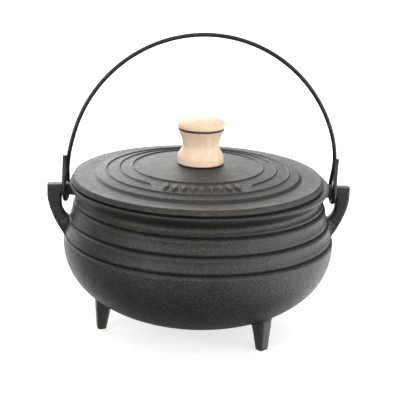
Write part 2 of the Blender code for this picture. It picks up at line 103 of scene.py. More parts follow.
def colour(name, description, default):
    """A property that holds a colour in linear values."""
    return FloatVectorProperty(name=name, description=description, default=default, subtype="COLOR",
                               size=3, min=0.0, max=1.0)


def share(name, description, default):
    """A property that holds a share from 0 to 1."""
    return FloatProperty(name=name, description=description, default=default, subtype="FACTOR",
                         min=0.0, max=1.0)


class IronPotBody(bpy.types.PropertyGroup):
    """Sizes of the pot's casting."""

    rim_height: length("Rim height", "Top of the rim above the floor", POT_HIGH.z)
    rim_radius: length("Rim radius", "Outer radius of the rim", 0.1285)
    mouth_radius: length("Mouth radius", "Inner radius of the rim", 0.118)
    belly_radius: length("Belly radius", "Widest radius of the bowl", 0.135)
    belly_height: length("Belly height", "Height where the bowl is widest", 0.092)
    bowl_depth: length("Bowl depth", "From the widest place down to the lowest point outside", 0.081)
    fullness: number("Bowl fullness", "2 is an ellipse, more is squarer", 2.25)
    wall: length("Wall", "Thickness of the casting", 0.0045)
    lip_face: length("Lip face", "Height of the rim's upright outer face", 0.0014)
    lip_flare: length("Lip flare", "Top of the rim down to the foot of the cove under it", 0.0135)
    rim_step: length("Rim step", "How far the rim's outer ledge lies below the lid's seat", 0.0015)
    rim_ledge: length("Rim ledge", "Width of that ledge", 0.0078)
    lip_round: length("Lip rounding", "Radius on the rim's outer edge", 0.0010)
    seat_fillet: length("Seat fillet", "Hollow where the ledge meets the lid's seat", 0.0004)
    seat_bevel: length("Seat bevel", "Broken edge round the lid's seat", 0.0003)
    mouth_round: length("Mouth rounding", "Radius on the rim's inner edge", 0.001)
    neck_inset: length("Neck inset", "Rim radius less neck radius", 0.0070)
    band_count: IntProperty(name="Bands", description="Number of steps round the upper body", default=3)
    first_step_drop: length("First step drop", "Rim down to the highest step", 0.0215)
    last_step_rise: length("Last step rise", "Widest place up to the lowest step", 0.0046)
    ledge: length("Ledge height", "Height of the rounded ledge under each step", 0.0040)
    band_flare: length("Band flare", "How far a band widens towards its foot", 0.0022)
    band_turn: length("Band turn", "How far a band turns in at its foot", 0.0018)
    band_roll: length("Band roll", "Height over which a band turns in", 0.0034)


class IronPotEars(bpy.types.PropertyGroup):
    """Sizes of the two cast ears."""

    thickness: length("Thickness", "Thickness of the ear along Y", 0.0115)
    top_drop: length("Top drop", "Rim top down to the ear's top", 0.005)
    edge: length("Edge rounding", "Radius along the ear's edges", 0.0030)
    corner: length("Corner", "Radius at the horn's outer top corner", 0.0009)
    top_edge: share("Top edge", "Edge rounding at the top, as a share of the rounding lower down", 0.28)
    bridge: length("Bridge height", "Height of the bar that the bail hangs on", 0.011)
    horn_width: length("Horn width", "Width of the horn at its top", 0.0142)
    horn_straight: length("Horn straight", "Straight part of the horn's outer side", 0.012)
    horn_depth: length("Horn depth", "Top of the horn down to its foot", 0.052)
    horn_belly: length("Horn belly", "How far down the horn's side stays full", 0.018)
    horn_lean: length("Horn lean", "How far the horn's side has come in by there", 0.0018)
    hole_depth: length("Hole depth", "Depth of the hole under the bridge", 0.022)
    hole_straight: length("Hole straight", "Straight part of the hole's outer side", 0.0105)
    hole_bend_in: length("Hole bend in", "Bend of the hole's side, in from its straight part", 0.0015)
    hole_bend_up: length("Hole bend up", "Bend of the hole's side, above its lowest point", 0.003)
    hole_corner: length("Hole corner", "Radius between the hole's side and the bridge", 0.0012)
    blend: length("Blend", "Reach of the cast fillet where an ear or leg meets the body", 0.0048)
    blend_high: length("Blend beside the bridge", "Reach of the fillet beside the hooks", 0.0014)


class IronPotLegs(bpy.types.PropertyGroup):
    """Sizes of the three tapered legs."""

    count: IntProperty(name="Legs", description="Number of legs, evenly spaced", default=3)
    first: angle("First leg", "Angle of the first leg from +X", 71.5)
    inset: length("Inset", "Belly radius less the leg circle's radius", 0.042)
    shift: length("Circle shift", "The leg circle's centre along X", -0.0025)
    splay: length("Splay", "How far the foot stands outside the leg's top", 0.0028)
    top_width: length("Top width", "Width across the leg at the bowl", 0.0195)
    top_depth: length("Top depth", "Depth of the leg at the bowl", 0.019)
    foot_width: length("Foot width", "Width across the foot", 0.011)
    foot_depth: length("Foot depth", "Depth of the foot", 0.0088)
    corner: share("Corner rounding", "Corner radius as a share of the leg's smaller side", 0.30)
    foot_edge: length("Foot edge", "Rounding under the foot", 0.0014)


class IronPotBail(bpy.types.PropertyGroup):
    """Sizes of the bail, one round rod."""

    rod: length("Rod diameter", "Diameter of the rod", BAIL_HIGH.y - BAIL_LOW.y - 2 * HOOK_RADIUS)
    rise: length("Rise", "Pivot up to the rod's centre at the top", 0.1552)
    rim_gap: length("Rim gap", "Clearance between the rod and the rim", 0.0004)
    hook_radius: length("Hook radius", "Radius of the hook at the rod's centre", HOOK_RADIUS)
    offset: length("Offset", "The hooks stand this far towards +X", 0.001)
    spread_right: length("Right spread", "Strand and tail apart along X, right hook", 0.0009)
    spread_left: length("Left spread", "Strand and tail apart along X, left hook", 0.0029)
    strand_run: length("Strand run", "Straight part above the hook", 0.0195)
    strand_lean: length("Strand lean", "How far each strand leans out over that part", 0.0006)
    strand_join: length("Strand join", "Height where both strands reach the bail's plane", 0.040)
    arch_shift: length("Arch shift", "The arch stands this much further towards +X than the hooks", 0.002)
    shift_rise: length("Shift rise", "Height over which the rod moves across by that much", 0.060)
    arch_fullness: number("Arch fullness", "2 is an ellipse, less is slimmer", 1.985)
    tail: length("Tail", "Length of the hook's free end above the pivot", 0.035)
    tail_lean: length("Tail lean", "How far the tail leans out", 0.0007)
    tail_offset: length("Tail offset", "Tail's end in front of the bail's plane", 0.0045)
    chamfer: length("End chamfer", "Broken edge at the rod's cut ends", 0.0004)
    sides: IntProperty(name="Rod sides", description="Facets round the rod", default=24)


class IronPotLid(bpy.types.PropertyGroup):
    """Sizes of the lid's casting."""

    centre: length("Centre", "Lid's centre along X", (LID_LOW.x + LID_HIGH.x) / 2)
    radius: length("Radius", "Outer radius", (LID_HIGH.x - LID_LOW.x) / 2)
    seat: length("Seat", "Height of the flange's underside", POT_HIGH.z + TOUCH_GAP)
    thickness: length("Flange thickness", "Thickness of the outer flange", 0.0052)
    draft: length("Edge draft", "How far the outer edge leans in towards its top", 0.0020)
    edge_round: length("Edge rounding", "Radius on the flange's upper edge", 0.0012)
    edge_lean: length("Edge lean", "How far the edge leans out below that rounding", 0.0002)
    foot_round: length("Foot rounding", "Radius on the flange's lower edge", 0.0006)
    flange: length("Flange width", "Outer edge in to the foot of the step", 0.0215)
    step_width: length("Step width", "Width of the soft step", 0.0035)
    step_height: length("Step height", "Height of the soft step", 0.0028)
    dome_rise: length("Dome rise", "Step's top up to where the dome's crown would be", 0.0096)
    wall: length("Wall", "Thickness of the dome", 0.0045)
    ring_depth: length("Locating ring depth", "How far the ring under the lid reaches into the mouth", 0.0055)
    ring_width: length("Locating ring width", "Thickness of that ring", 0.004)
    ring_play: length("Locating ring play", "Clearance between that ring and the mouth", 0.0035)
    ring_round: length("Locating ring rounding", "Radius on that ring's edges", 0.001)
    line_inner: length("Inner line", "Radius of the innermost raised line", 0.0645)
    line_pitch: length("Line pitch", "Distance from one raised line to the next", 0.0130)
    line_count: IntProperty(name="Raised lines", description="Number of raised lines on the dome", default=3)
    line_half: length("Line half width", "Half the width of a raised line", 0.0011)
    line_height: length("Line height", "Height of a raised line", 0.0012)
    line_gap: angle("Line gap", "Opening in front in the middle line", 74.0)
    line_end: angle("Line end", "Angle over which that line runs out at its gap", 2.5)
    pad: length("Seat pad", "Radius of the flat place under the knob", 0.026)
    boss: length("Boss", "Radius of the boss under the lid", 0.0115)
    boss_fillet: length("Boss fillet", "Width of the hollow where the boss meets the dome", 0.003)
    boss_bevel: length("Boss bevel", "Broken edge at the boss's foot", 0.0004)
    hole: length("Screw hole", "Radius of the screw hole", 0.0033)


class IronPotOrnament(bpy.types.PropertyGroup):
    """Sizes of the row of lozenges cast on the lid in the gap of its middle line."""

    count: IntProperty(name="Lozenges", description="Number of lozenges", default=9)
    row_angle: angle("Row angle", "Angle between the first lozenge and the last", 51.0)
    across: length("Lozenge width", "Width of a lozenge along the row", 0.0086)
    along: length("Lozenge height", "Length of a lozenge towards the lid's centre", 0.0190)
    relief: length("Relief", "How far a lozenge stands out of the lid", 0.0020)
    slant: share("Slant", "Top face of a lozenge as a share of its foot", 0.60)
    sink: share("Sink", "Depth of a lozenge inside the lid, as a share of its relief", 0.25)


class IronPotKnob(bpy.types.PropertyGroup):
    """Sizes of the turned knob."""

    foot_radius: length("Foot radius", "Radius of the foot", 0.0229)
    waist_radius: length("Waist radius", "Radius of the waist", 0.018)
    cap_radius: length("Cap radius", "Radius of the cap", (KNOB_HIGH.y - KNOB_LOW.y) / 2 + CAP_MARGIN)
    cap_overhang: length("Cap overhang", "How far the cap stands out past the shoulder under it", 0.0004)
    cap_edge: length("Cap edge", "Height over which the cap reaches its full radius", 0.0022)
    foot_round: length("Foot rounding", "Radius under the foot", 0.0012)
    foot_share: share("Foot height", "Height of the straight foot as a share of the knob's", 0.135)
    waist_share: share("Waist height", "Waist height as a share of the knob's", 0.40)
    waist_flare: number("Waist flare", "More keeps the knob slim for longer above the waist", 1.7)
    groove_drop: length("Groove drop", "Top of the knob down to the burnt line", 0.011)
    groove_width: length("Groove width", "Width of the burnt line", 0.0017)
    groove_depth: length("Groove depth", "Depth of the burnt line", 0.0010)
    cap_fullness: number("Cap fullness", "2 is an ellipse, more is squarer", 2.5)


class IronPotFastening(bpy.types.PropertyGroup):
    """Sizes of the screw, washer and insert that hold the knob."""

    gap: length("Touch gap", "Gap between pieces that touch", TOUCH_GAP)
    bevel: length("Bevel", "Broken edge on the screw's head and the washer", 0.0003)
    screw_radius: length("Screw radius", "Outer radius of the thread", 0.0028)
    thread_pitch: length("Thread pitch", "Rise of the thread in one turn", 0.0008)
    thread_depth: length("Thread depth", "Depth of the thread", 0.0004)
    head_radius: length("Head radius", "Radius of the screw's head", 0.0054)
    head_height: length("Head height", "Height of the screw's head", 0.0032)
    head_undercut: length("Head undercut", "Plain shank between the head and the thread", 0.0004)
    slot_width: length("Slot width", "Width of the driver's slot", 0.0013)
    slot_depth: length("Slot depth", "Depth of the driver's slot", 0.0012)
    washer_bore: length("Washer bore", "Radius of the washer's hole", 0.0033)
    insert_radius: length("Insert radius", "Radius of the insert's sleeve", 0.0048)
    insert_flange: length("Insert flange", "Thickness of the insert's flange", 0.0012)
    barb_count: IntProperty(name="Barbs", description="Number of barbs round the insert's sleeve", default=8)
    barb_depth: length("Barb depth", "How far the barbs stand out of the sleeve", 0.0003)
    barb_rise: length("Barb rise", "Height over which a barb widens", 0.0004)
    barb_height: length("Barb height", "Height of a barb", 0.0009)
    barb_margin: length("Barb margin", "Plain sleeve above the flange, and again at the top", 0.001)


class IronPotFinish(bpy.types.PropertyGroup):
    """Colours and gloss of the pieces."""

    iron_dark: colour("Iron, dark", "Darker tone of the blackened casting", (0.0085, 0.0085, 0.0088))
    iron_light: colour("Iron, light", "Lighter tone of the blackened casting", (0.0165, 0.0162, 0.0160))
    iron_worn: colour("Iron, rubbed", "Tone on the casting's rubbed edges", (0.085, 0.080, 0.075))
    iron_gloss: share("Iron roughness", "Roughness of the casting", 0.41)
    pot_grain: share("Pot grain", "Strength of the cast grain on the pot", 0.55)
    lid_grain: share("Lid grain", "Strength of the cast grain on the lid", 0.90)
    rod_tone: colour("Rod", "Tone of the blackened rod", (0.014, 0.014, 0.0145))
    rod_worn: colour("Rod, rubbed", "Tone of the rod where it rubs", (0.16, 0.155, 0.15))
    wood_light: colour("Wood, light", "Lighter tone of the wood", (0.79, 0.63, 0.46))
    wood_dark: colour("Wood, dark", "Darker tone of the wood's grain", (0.72, 0.50, 0.34))
    # This tone colours the burnt line and also the painted shade round the knob's foot.
    wood_burnt_and_shade: colour("Wood, burnt", "Tone of the burnt line", (0.040, 0.015, 0.006))
    steel: colour("Steel", "Plated steel", (0.60, 0.60, 0.58))
    brass: colour("Brass", "Brass", (0.72, 0.53, 0.22))


class IronPotStage(bpy.types.PropertyGroup):
    """The camera, the even light and the floor."""

    azimuth: angle("Azimuth", "Camera's turn round the pot", -3.4)
    elevation: angle("Elevation", "Camera's angle above the horizon", 16.4)
    roll: angle("Roll", "Camera's roll", 1.65)
    distance: length("Distance", "Camera to its target", 1.2)
    target_height: length("Target height", "Height that the camera looks at", 0.130)
    lens: number("Lens", "Focal length in millimetres", 108.0)
    shift: number("Shift", "Sideways shift of the picture", 0.0021)
    floor_side: length("Floor side", "Side of the square floor", 60.0)
    floor_tone: share("Floor tone", "Brightness of the floor", 0.93)
    floor_glow: number("Floor glow", "Light that the floor gives of its own", 0.55)
    ground_above: number("Light above", "Even light from above", 0.40)
    ground_below: number("Light below", "Even light from below", 0.24)


# ---------------------------------------------------------------- general helpers

def eased(start, end, amount):
    """A value that leaves start and reaches end with no slope, for an amount from 0 to 1."""
    amount = min(max(amount, 0.0), 1.0)
    return start + (end - start) * (1 - math.cos(math.pi * amount)) / 2


def curve_between(start, bend, end, steps):
    """Points of a quadratic curve from start to end, pulled towards bend."""
    points = []
    for step in range(steps + 1):
        t = step / steps
        points.append(tuple((1 - t) ** 2 * a + 2 * t * (1 - t) * b + t ** 2 * c
                            for a, b, c in zip(start, bend, end)))
    return points


def rounded(start, corner, end, steps):
    """Points of a quarter ellipse from start to end that touches the lines through corner."""
    points = []
    for step in range(steps + 1):
        turn = math.pi / 2 * step / steps
        points.append(tuple(c + (a - c) * (1 - math.sin(turn)) + (b - c) * (1 - math.cos(turn))
                            for a, b, c in zip(start, end, corner)))
    return points


def between(start, end, steps):
    """Points on the straight line from start to end, without its ends."""
    return [tuple(a + (b - a) * i / steps for a, b in zip(start, end)) for i in range(1, steps)]


def s_curve(start, end, steps):
    """Points past start on an upright S from one (radius, height) to another, with no slope at its ends."""
    return [(eased(start[0], end[0], i / steps), start[1] + (end[1] - start[1]) * i / steps)
            for i in range(1, steps + 1)]


def direction(azimuth, elevation):
    """The direction out to an azimuth from the front and an angle above the horizon."""
    return Vector((math.sin(azimuth) * math.cos(elevation), -math.cos(azimuth) * math.cos(elevation),
                   math.sin(elevation)))


def distinct(points, least=1e-5):
    """The points without any that repeats the one before it."""
    kept = [points[0]]
    for point in points[1:]:
        if math.dist(point, kept[-1]) > least:
            kept.append(point)
    return kept


def turned(outline, steps, centre=None, lift=None):
    """Sweep an outline round Z. Ends on the axis close the body, or else the outline is a ring.

    centre(index) gives a ring's centre along X, and lift(index, angle) raises one point of a ring.
    """
    bm = bmesh.new()
    rings = []
    for index, (radius, height) in enumerate(outline):
        middle = centre(index) if centre else 0.0
        if radius == 0.0:
            rings.append([bm.verts.new((middle, 0.0, height))])
            continue
        ring = []
        for step in range(steps):
            turn = 2 * math.pi * step / steps
            rise = lift(index, turn) if lift else 0.0
            place = (middle + radius * math.cos(turn), radius * math.sin(turn), height + rise)
            ring.append(bm.verts.new(place))
        rings.append(ring)
    pairs = list(zip(rings[:-1], rings[1:]))
    if outline[0][0] > 0.0:
        pairs.append((rings[-1], rings[0]))
    for lower, upper in pairs:
        for step in range(steps):
            after = (step + 1) % steps
            corners = [lower[step % len(lower)], lower[after % len(lower)],
                       upper[after % len(upper)], upper[step % len(upper)]]
            bm.faces.new(list(dict.fromkeys(corners)))
    return bm


def shell(rings):
    """A closed body from rings of points with the same count, with a flat face at each end."""
    bm = bmesh.new()
    verts = [[bm.verts.new(point) for point in ring] for ring in rings]
    bm.faces.new(verts[0])
    bm.faces.new(verts[-1])
    for lower, upper in zip(verts[:-1], verts[1:]):
        for i in range(len(lower)):
            after = (i + 1) % len(lower)
            bm.faces.new([lower[i], lower[after], upper[after], upper[i]])
    return bm


def mesh_object(name, bm, finish, sharp=38.0):
    """Turn a bmesh into an object with outward faces, smooth shading and crisp edges past an angle."""
    bmesh.ops.recalc_face_normals(bm, faces=bm.faces)
    mesh = bpy.data.meshes.new(name)
    bm.to_mesh(mesh)
    bm.free()
    mesh.materials.append(finish)
    mesh.shade_smooth()
    mesh.set_sharp_from_angle(angle=math.radians(sharp))
    made = bpy.data.objects.new(name, mesh)
    bpy.context.scene.collection.objects.link(made)
    return made


def plain_mesh(made, name):
    """Replace an object that has modifiers by a plain mesh object of the finished shape."""
    bpy.context.view_layer.update()
    graph = bpy.context.evaluated_depsgraph_get()
    mesh = bpy.data.meshes.new_from_object(made.evaluated_get(graph))
    mesh.name = name
    bpy.data.objects.remove(made, do_unlink=True)
    result = bpy.data.objects.new(name, mesh)
    bpy.context.scene.collection.objects.link(result)
    return result


def united(target, tools, operation="UNION"):
    """Add the tools to the target with exact Booleans, and return one plain mesh object."""
    for tool in tools:
        modifier = target.modifiers.new(tool.name, "BOOLEAN")
        modifier.operation = operation
        modifier.solver = "EXACT"
        modifier.object = tool
    made = plain_mesh(target, target.name)
    for tool in tools:
        bpy.data.objects.remove(tool, do_unlink=True)
    return made


def finish_piece(made, body, slot, *nodes):
    """Say which body a piece rides on and which CAD nodes it stands for, which are hidden. The slot argument
    is not used.
    """
    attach(made, body)
    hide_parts(*nodes)


# ---------------------------------------------------------------- nodes

def feed(tree, socket, value):
    """Link a socket to another node's output, or give it a value."""
    if isinstance(value, bpy.types.NodeSocket):
        tree.links.new(value, socket)
    else:
        socket.default_value = value


def tree_node(tree, kind, inputs=None, **settings):
    """Add a node to a tree. Inputs are values, or another node's output."""
    node = tree.nodes.new(kind)
    for key, value in settings.items():
        setattr(node, key, value)
    for key, value in (inputs or {}).items():
        feed(tree, node.inputs[key], value)
    return node


def tree_maths(tree, operation, first, second=0.0):
    """One arithmetic step in a tree."""
    return tree_node(tree, "ShaderNodeMath", {0: first, 1: second}, operation=operation).outputs[0]


# ---------------------------------------------------------------- finishes

class Finish:
    """A material and short calls to add nodes to it. Patterns follow Object coordinates."""

    def __init__(self, name):
        self.material = bpy.data.materials.new(name)
        self.material.use_nodes = True
        self.tree = self.material.node_tree
        self.shader = self.tree.nodes["Principled BSDF"]
        self.place = self.add("ShaderNodeTexCoord").outputs["Object"]

    def add(self, kind, inputs=None, **settings):
        """Add a node. Inputs are values, or another node's output."""
        return tree_node(self.tree, kind, inputs, **settings)

    def noise(self, scale, detail=2.0, roughness=0.5, distortion=0.0, place=None):
        """Even noise from 0 to 1, with scale features to the metre."""
        inputs = {"Vector": place or self.place, "Scale": scale, "Detail": detail, "Roughness": roughness,
                  "Distortion": distortion}
        return self.add("ShaderNodeTexNoise", inputs).outputs["Fac"]

    def remap(self, value, low, high, to_low=0.0, to_high=1.0):
        """Spread a value from one range to another, held at the ends."""
        node = self.add("ShaderNodeMapRange", {"Value": value, "From Min": low, "From Max": high,
                                               "To Min": to_low, "To Max": to_high})
        return node.outputs["Result"]

    def maths(self, operation, first, second=0.0):
        """One arithmetic step."""
        return tree_maths(self.tree, operation, first, second)

    def mix(self, amount, first, second):
        """A colour between two, each a colour or another node's output."""
        node = self.add("ShaderNodeMix", {"Factor": amount}, data_type="RGBA")
        colours = [socket for socket in node.inputs if socket.type == "RGBA"]
        for socket, value in zip(colours, (first, second)):
            feed(self.tree, socket, value if isinstance(value, bpy.types.NodeSocket) else (*value, 1.0))
        return next(socket for socket in node.outputs if socket.type == "RGBA")

    def bump(self, height, depth, strength=1.0, below=None):
        """Relief of a depth in metres, on top of any relief below it."""
        node = self.add("ShaderNodeBump", {"Height": height, "Distance": depth, "Strength": strength})
        if below is not None:
            feed(self.tree, node.inputs["Normal"], below)
        return node.outputs["Normal"]

    def set(self, **values):
        """Set or link the shader's sockets, named with underscores for spaces."""
        for key, value in values.items():
            feed(self.tree, self.shader.inputs[key.replace("_", " ")], value)
        return self.material


def cast_iron(name, finish, grain):
    """Blackened sand casting: fine grain, shallow waves, mottled tone and slightly rubbed edges."""
    wave_depth, pit_depth, grain_depth = 0.0011, 0.00016, 0.0011
    roughness = finish.iron_gloss
    bench = Finish(name)
    cloud = bench.remap(bench.noise(22.0, 4.0, 0.6), 0.35, 0.68)
    tone = bench.mix(cloud, tuple(finish.iron_dark), tuple(finish.iron_light))
    speckle = bench.remap(bench.noise(620.0, 3.0, 0.75), 0.52, 0.70, 0.0, 0.75)
    tone = bench.mix(speckle, tone, tuple(finish.iron_worn))
    edge = bench.remap(bench.add("ShaderNodeNewGeometry").outputs["Pointiness"], 0.515, 0.575)
    patchy = bench.remap(bench.noise(60.0, 3.0), 0.40, 0.65, 0.15, 0.9)
    tone = bench.mix(bench.maths("MULTIPLY", edge, patchy), tone, tuple(finish.iron_worn))
    gloss = bench.remap(bench.noise(130.0, 5.0, 0.65), 0.3, 0.7, roughness - 0.05, roughness + 0.07)
    waves = bench.bump(bench.noise(34.0, 2.0), wave_depth, 0.45)
    pores = bench.add("ShaderNodeTexVoronoi", {"Vector": bench.place, "Scale": 420.0, "Randomness": 1.0},
                      feature="SMOOTH_F1")
    pits = bench.remap(pores.outputs["Distance"], 0.0, 0.45)
    pitted = bench.bump(pits, pit_depth, 0.55 * grain, waves)
    relief = bench.bump(bench.noise(400.0, 5.0, 0.75), grain_depth, grain, pitted)
    return bench.set(Base_Color=tone, Roughness=gloss, Normal=relief, IOR=1.46, Specular_IOR_Level=0.5)


def blackened_rod(name, finish):
    """Drawn rod with a thin black finish, rubbed bright in streaks, and a fine grain."""
    grain_depth = 0.00008
    bench = Finish(name)
    streak = bench.remap(bench.noise(95.0, 4.0, 0.7), 0.55, 0.78, 0.0, 0.55)
    tone = bench.mix(streak, tuple(finish.rod_tone), tuple(finish.rod_worn))
    gloss = bench.remap(bench.noise(260.0, 3.0), 0.3, 0.7, 0.24, 0.40)
    relief = bench.bump(bench.noise(900.0, 3.0, 0.6), grain_depth, 0.5)
    return bench.set(Base_Color=tone, Roughness=gloss, Normal=relief, Metallic=0.35, IOR=1.5)


def turned_wood(name, finish, groove_height, groove_width):
    """Pale close-grained wood: long grain up the knob, turning marks, a burnt line, and painted shade that
    darkens the foot where it sits on the lid.
    """
    mark_depth, fibre_depth = 0.00003, 0.00006
    wander_by = 0.00012
    # Painted shade: the knob is fully darkened up to the first height above its foot, and not at all above
    # the second, where it sits on the lid.
    foot_shade_full, foot_shade_gone = KNOB_LOW.z + 0.0007, KNOB_LOW.z + 0.0016
    bench = Finish(name)
    stretch = bench.add("ShaderNodeMapping", {"Vector": bench.place, "Scale": (1.0, 1.0, 0.10)})
    long_grain = bench.noise(190.0, 5.0, 0.65, 0.8, stretch.outputs["Vector"])
    fine_grain = bench.noise(1400.0, 3.0, 0.7, 0.0, stretch.outputs["Vector"])
    blush = bench.remap(bench.noise(38.0, 2.0), 0.35, 0.65, 0.0, 0.55)
    tone = bench.mix(bench.remap(long_grain, 0.36, 0.66), tuple(finish.wood_light), tuple(finish.wood_dark))
    tone = bench.mix(blush, tone, tuple(finish.wood_light))
    flecks = bench.remap(fine_grain, 0.60, 0.78, 0.0, 0.35)
    tone = bench.mix(flecks, tone, tuple(finish.wood_dark))
    height = bench.add("ShaderNodeSeparateXYZ", {"Vector": bench.place}).outputs["Z"]
    wander = bench.remap(bench.noise(160.0, 2.0), 0.3, 0.7, -wander_by, wander_by)
    burn_and_shade_height = bench.maths("ADD", height, wander)
    off_line = bench.maths("ABSOLUTE", bench.maths("SUBTRACT", burn_and_shade_height, groove_height))
    burnt = bench.remap(off_line, 0.42 * groove_width, 0.80 * groove_width, 1.0, 0.0)
    # Painted shade where the knob's foot meets the lid, mixed in with the burnt line's dark tone.
    foot_shade = bench.remap(burn_and_shade_height, foot_shade_full, foot_shade_gone, 1.0, 0.0)
    tone = bench.mix(bench.maths("MAXIMUM", burnt, foot_shade), tone, tuple(finish.wood_burnt_and_shade))
    marks = bench.add("ShaderNodeTexWave", {"Vector": bench.place, "Scale": 620.0, "Distortion": 1.5,
                                            "Detail": 2.0}, bands_direction="Z")
    relief = bench.bump(marks.outputs["Fac"], mark_depth, 0.25)
    relief = bench.bump(fine_grain, fibre_depth, 0.35, relief)
    gloss = bench.remap(long_grain, 0.3, 0.7, 0.42, 0.55)
    return bench.set(Base_Color=tone, Roughness=gloss, Normal=relief, Subsurface_Weight=0.06,
                     Subsurface_Scale=0.002, IOR=1.45)


def bright_metal(name, tone, roughness):
    """Plated or turned metal, slightly uneven in tone and gloss, with a very fine grain."""
    grain_depth = 0.00003
    bench = Finish(name)
    cloud = bench.remap(bench.noise(320.0, 4.0), 0.3, 0.7)
    darker = tuple(0.78 * value for value in tone)
    grain = bench.noise(2600.0, 2.0)
    gloss = bench.remap(grain, 0.3, 0.7, roughness - 0.06, roughness + 0.08)
    return bench.set(Base_Color=bench.mix(cloud, tuple(tone), darker), Roughness=gloss, Metallic=1.0,
                     Normal=bench.bump(grain, grain_depth, 0.3))


def casting_finish(name, grain):
    """The finish of a casting, made once."""
    return bpy.data.materials.get(name) or cast_iron(name, bpy.context.scene.iron_pot_finish, grain)


def lid_iron():
    """The finish of the lid and its lozenges."""
    return casting_finish("lid_cast_iron", bpy.context.scene.iron_pot_finish.lid_grain)


# ---------------------------------------------------------------- node trees

def node_tree(name, inputs):
    """A new geometry tree with a mesh or curve coming in and geometry going out, and named inputs."""
    tree = bpy.data.node_groups.new(name, "GeometryNodeTree")
    tree.interface.new_socket("Geometry", in_out="INPUT", socket_type="NodeSocketGeometry")
    for label, kind in inputs:
        tree.interface.new_socket(label, in_out="INPUT", socket_type=f"NodeSocket{kind}")
    tree.interface.new_socket("Geometry", in_out="OUTPUT", socket_type="NodeSocketGeometry")
    return tree


def end_tree(tree, source, geometry):
    """Close a tree: real geometry, its material, and the way out."""
    real = tree_node(tree, "GeometryNodeRealizeInstances", {"Geometry": geometry})
    painted = tree_node(tree, "GeometryNodeSetMaterial", {"Geometry": real.outputs[0],
                                                          "Material": source.outputs["Material"]})
    tree_node(tree, "NodeGroupOutput", {"Geometry": painted.outputs[0]})


def run_tree(made, tree, values):
    """Put a tree on an object with its inputs set by identifier, and return the plain mesh it makes."""
    modifier = made.modifiers.new(tree.name, "NODES")
    modifier.node_group = tree
    for item in tree.interface.items_tree:
        if item.in_out == "INPUT" and item.name in values:
            modifier[item.identifier] = values[item.name]
    return plain_mesh(made, made.name)


def rod_tree():
    """A round bar swept along a curve, with its ends closed."""
    tree = node_tree("swept_rod", [("Rod radius", "Float"), ("Sides", "Int"), ("Material", "Material")])
    source = tree_node(tree, "NodeGroupInput")
    section = tree_node(tree, "GeometryNodeCurvePrimitiveCircle", {"Resolution": source.outputs["Sides"],
                                                                   "Radius": source.outputs["Rod radius"]})
    swept = tree_node(tree, "GeometryNodeCurveToMesh", {"Curve": source.outputs["Geometry"],
                                                        "Profile Curve": section.outputs["Curve"],
                                                        "Fill Caps": True})
    end_tree(tree, source, swept.outputs["Mesh"])
    return tree


def lozenge_tree():
    """A row of bevelled lozenges turned round a centre, each tipped to lie on the dome."""
    tree = node_tree("lozenge_row", [("Count", "Int"), ("Row angle", "Float"), ("Row radius", "Float"),
                                     ("Foot height", "Float"), ("Slope", "Float"), ("Centre", "Float"),
                                     ("Across", "Float"), ("Along", "Float"), ("Relief", "Float"),
                                     ("Top share", "Float"), ("Material", "Material")])
    source = tree_node(tree, "NodeGroupInput")
    out = source.outputs

    def vector(x=0.0, y=0.0, z=0.0):
        return tree_node(tree, "ShaderNodeCombineXYZ", {"X": x, "Y": y, "Z": z}).outputs["Vector"]

    frustum = tree_node(tree, "GeometryNodeMeshCone", {"Vertices": 4, "Radius Top": out["Top share"],
                                                       "Radius Bottom": 1.0, "Depth": 1.0})
    half_across = tree_maths(tree, "MULTIPLY", out["Across"], 0.5)
    half_along = tree_maths(tree, "MULTIPLY", out["Along"], 0.5)
    sized = tree_node(tree, "GeometryNodeTransform", {
        "Geometry": frustum.outputs["Mesh"], "Scale": vector(half_across, half_along, out["Relief"])})
    towards_front = tree_maths(tree, "MULTIPLY", out["Row radius"], -1.0)
    tipped = tree_node(tree, "GeometryNodeTransform", {
        "Geometry": sized.outputs["Geometry"], "Translation": vector(0.0, towards_front, out["Foot height"]),
        "Rotation": vector(out["Slope"])})
    spots = tree_node(tree, "GeometryNodePoints", {"Count": out["Count"], "Position": vector(out["Centre"])})
    index = tree_node(tree, "GeometryNodeInputIndex").outputs["Index"]
    last = tree_maths(tree, "SUBTRACT", out["Count"], 1.0)
    along_row = tree_maths(tree, "SUBTRACT", tree_maths(tree, "DIVIDE", index, last), 0.5)
    turn = vector(0.0, 0.0, tree_maths(tree, "MULTIPLY", along_row, out["Row angle"]))
    row = tree_node(tree, "GeometryNodeInstanceOnPoints", {"Points": spots.outputs[0],
                                                           "Instance": tipped.outputs["Geometry"],
                                                           "Rotation": turn})
    end_tree(tree, source, row.outputs["Instances"])
    return tree


# ---------------------------------------------------------------- pot

def bowl_point(s, radius, depth, turn):
    """A point of the rounded bowl, from turn 0 at its lowest point to 90 degrees at the belly."""
    return (radius * math.sin(turn) ** (2 / s.fullness),
            s.belly_height - depth * max(math.cos(turn), 0.0) ** (2 / s.fullness))


def bowl_height(s, radius):
    """Height of the bowl's outer face at a radius."""
    return s.belly_height - s.bowl_depth * (1 - (radius / s.belly_radius) ** s.fullness) ** (1 / s.fullness)


def band_steps(s):
    """(radius above the step, height of the step) for each step, lowest first."""
    lowest = s.belly_height + s.last_step_rise
    pitch = (s.rim_height - s.first_step_drop - lowest) / (s.band_count - 1)
    widening = (s.belly_radius - s.rim_radius + s.neck_inset) / s.band_count
    return [(s.belly_radius - widening * (i + 1), lowest + pitch * i) for i in range(s.band_count)]


def band_wall(s, radius, foot, top, steps):
    """One band from its foot up: rolled in at the foot, widest above the roll, then a slow hollow curve."""
    widest = radius + s.band_flare
    roll_top = foot + s.band_roll
    points = rounded((widest - s.band_turn, foot), (widest, foot), (widest, roll_top), steps // 2)
    for step in range(1, steps + 1):
        up = step / steps
        points.append((radius + s.band_flare * (1 - up) ** 2, roll_top + (top - roll_top) * up))
    return points


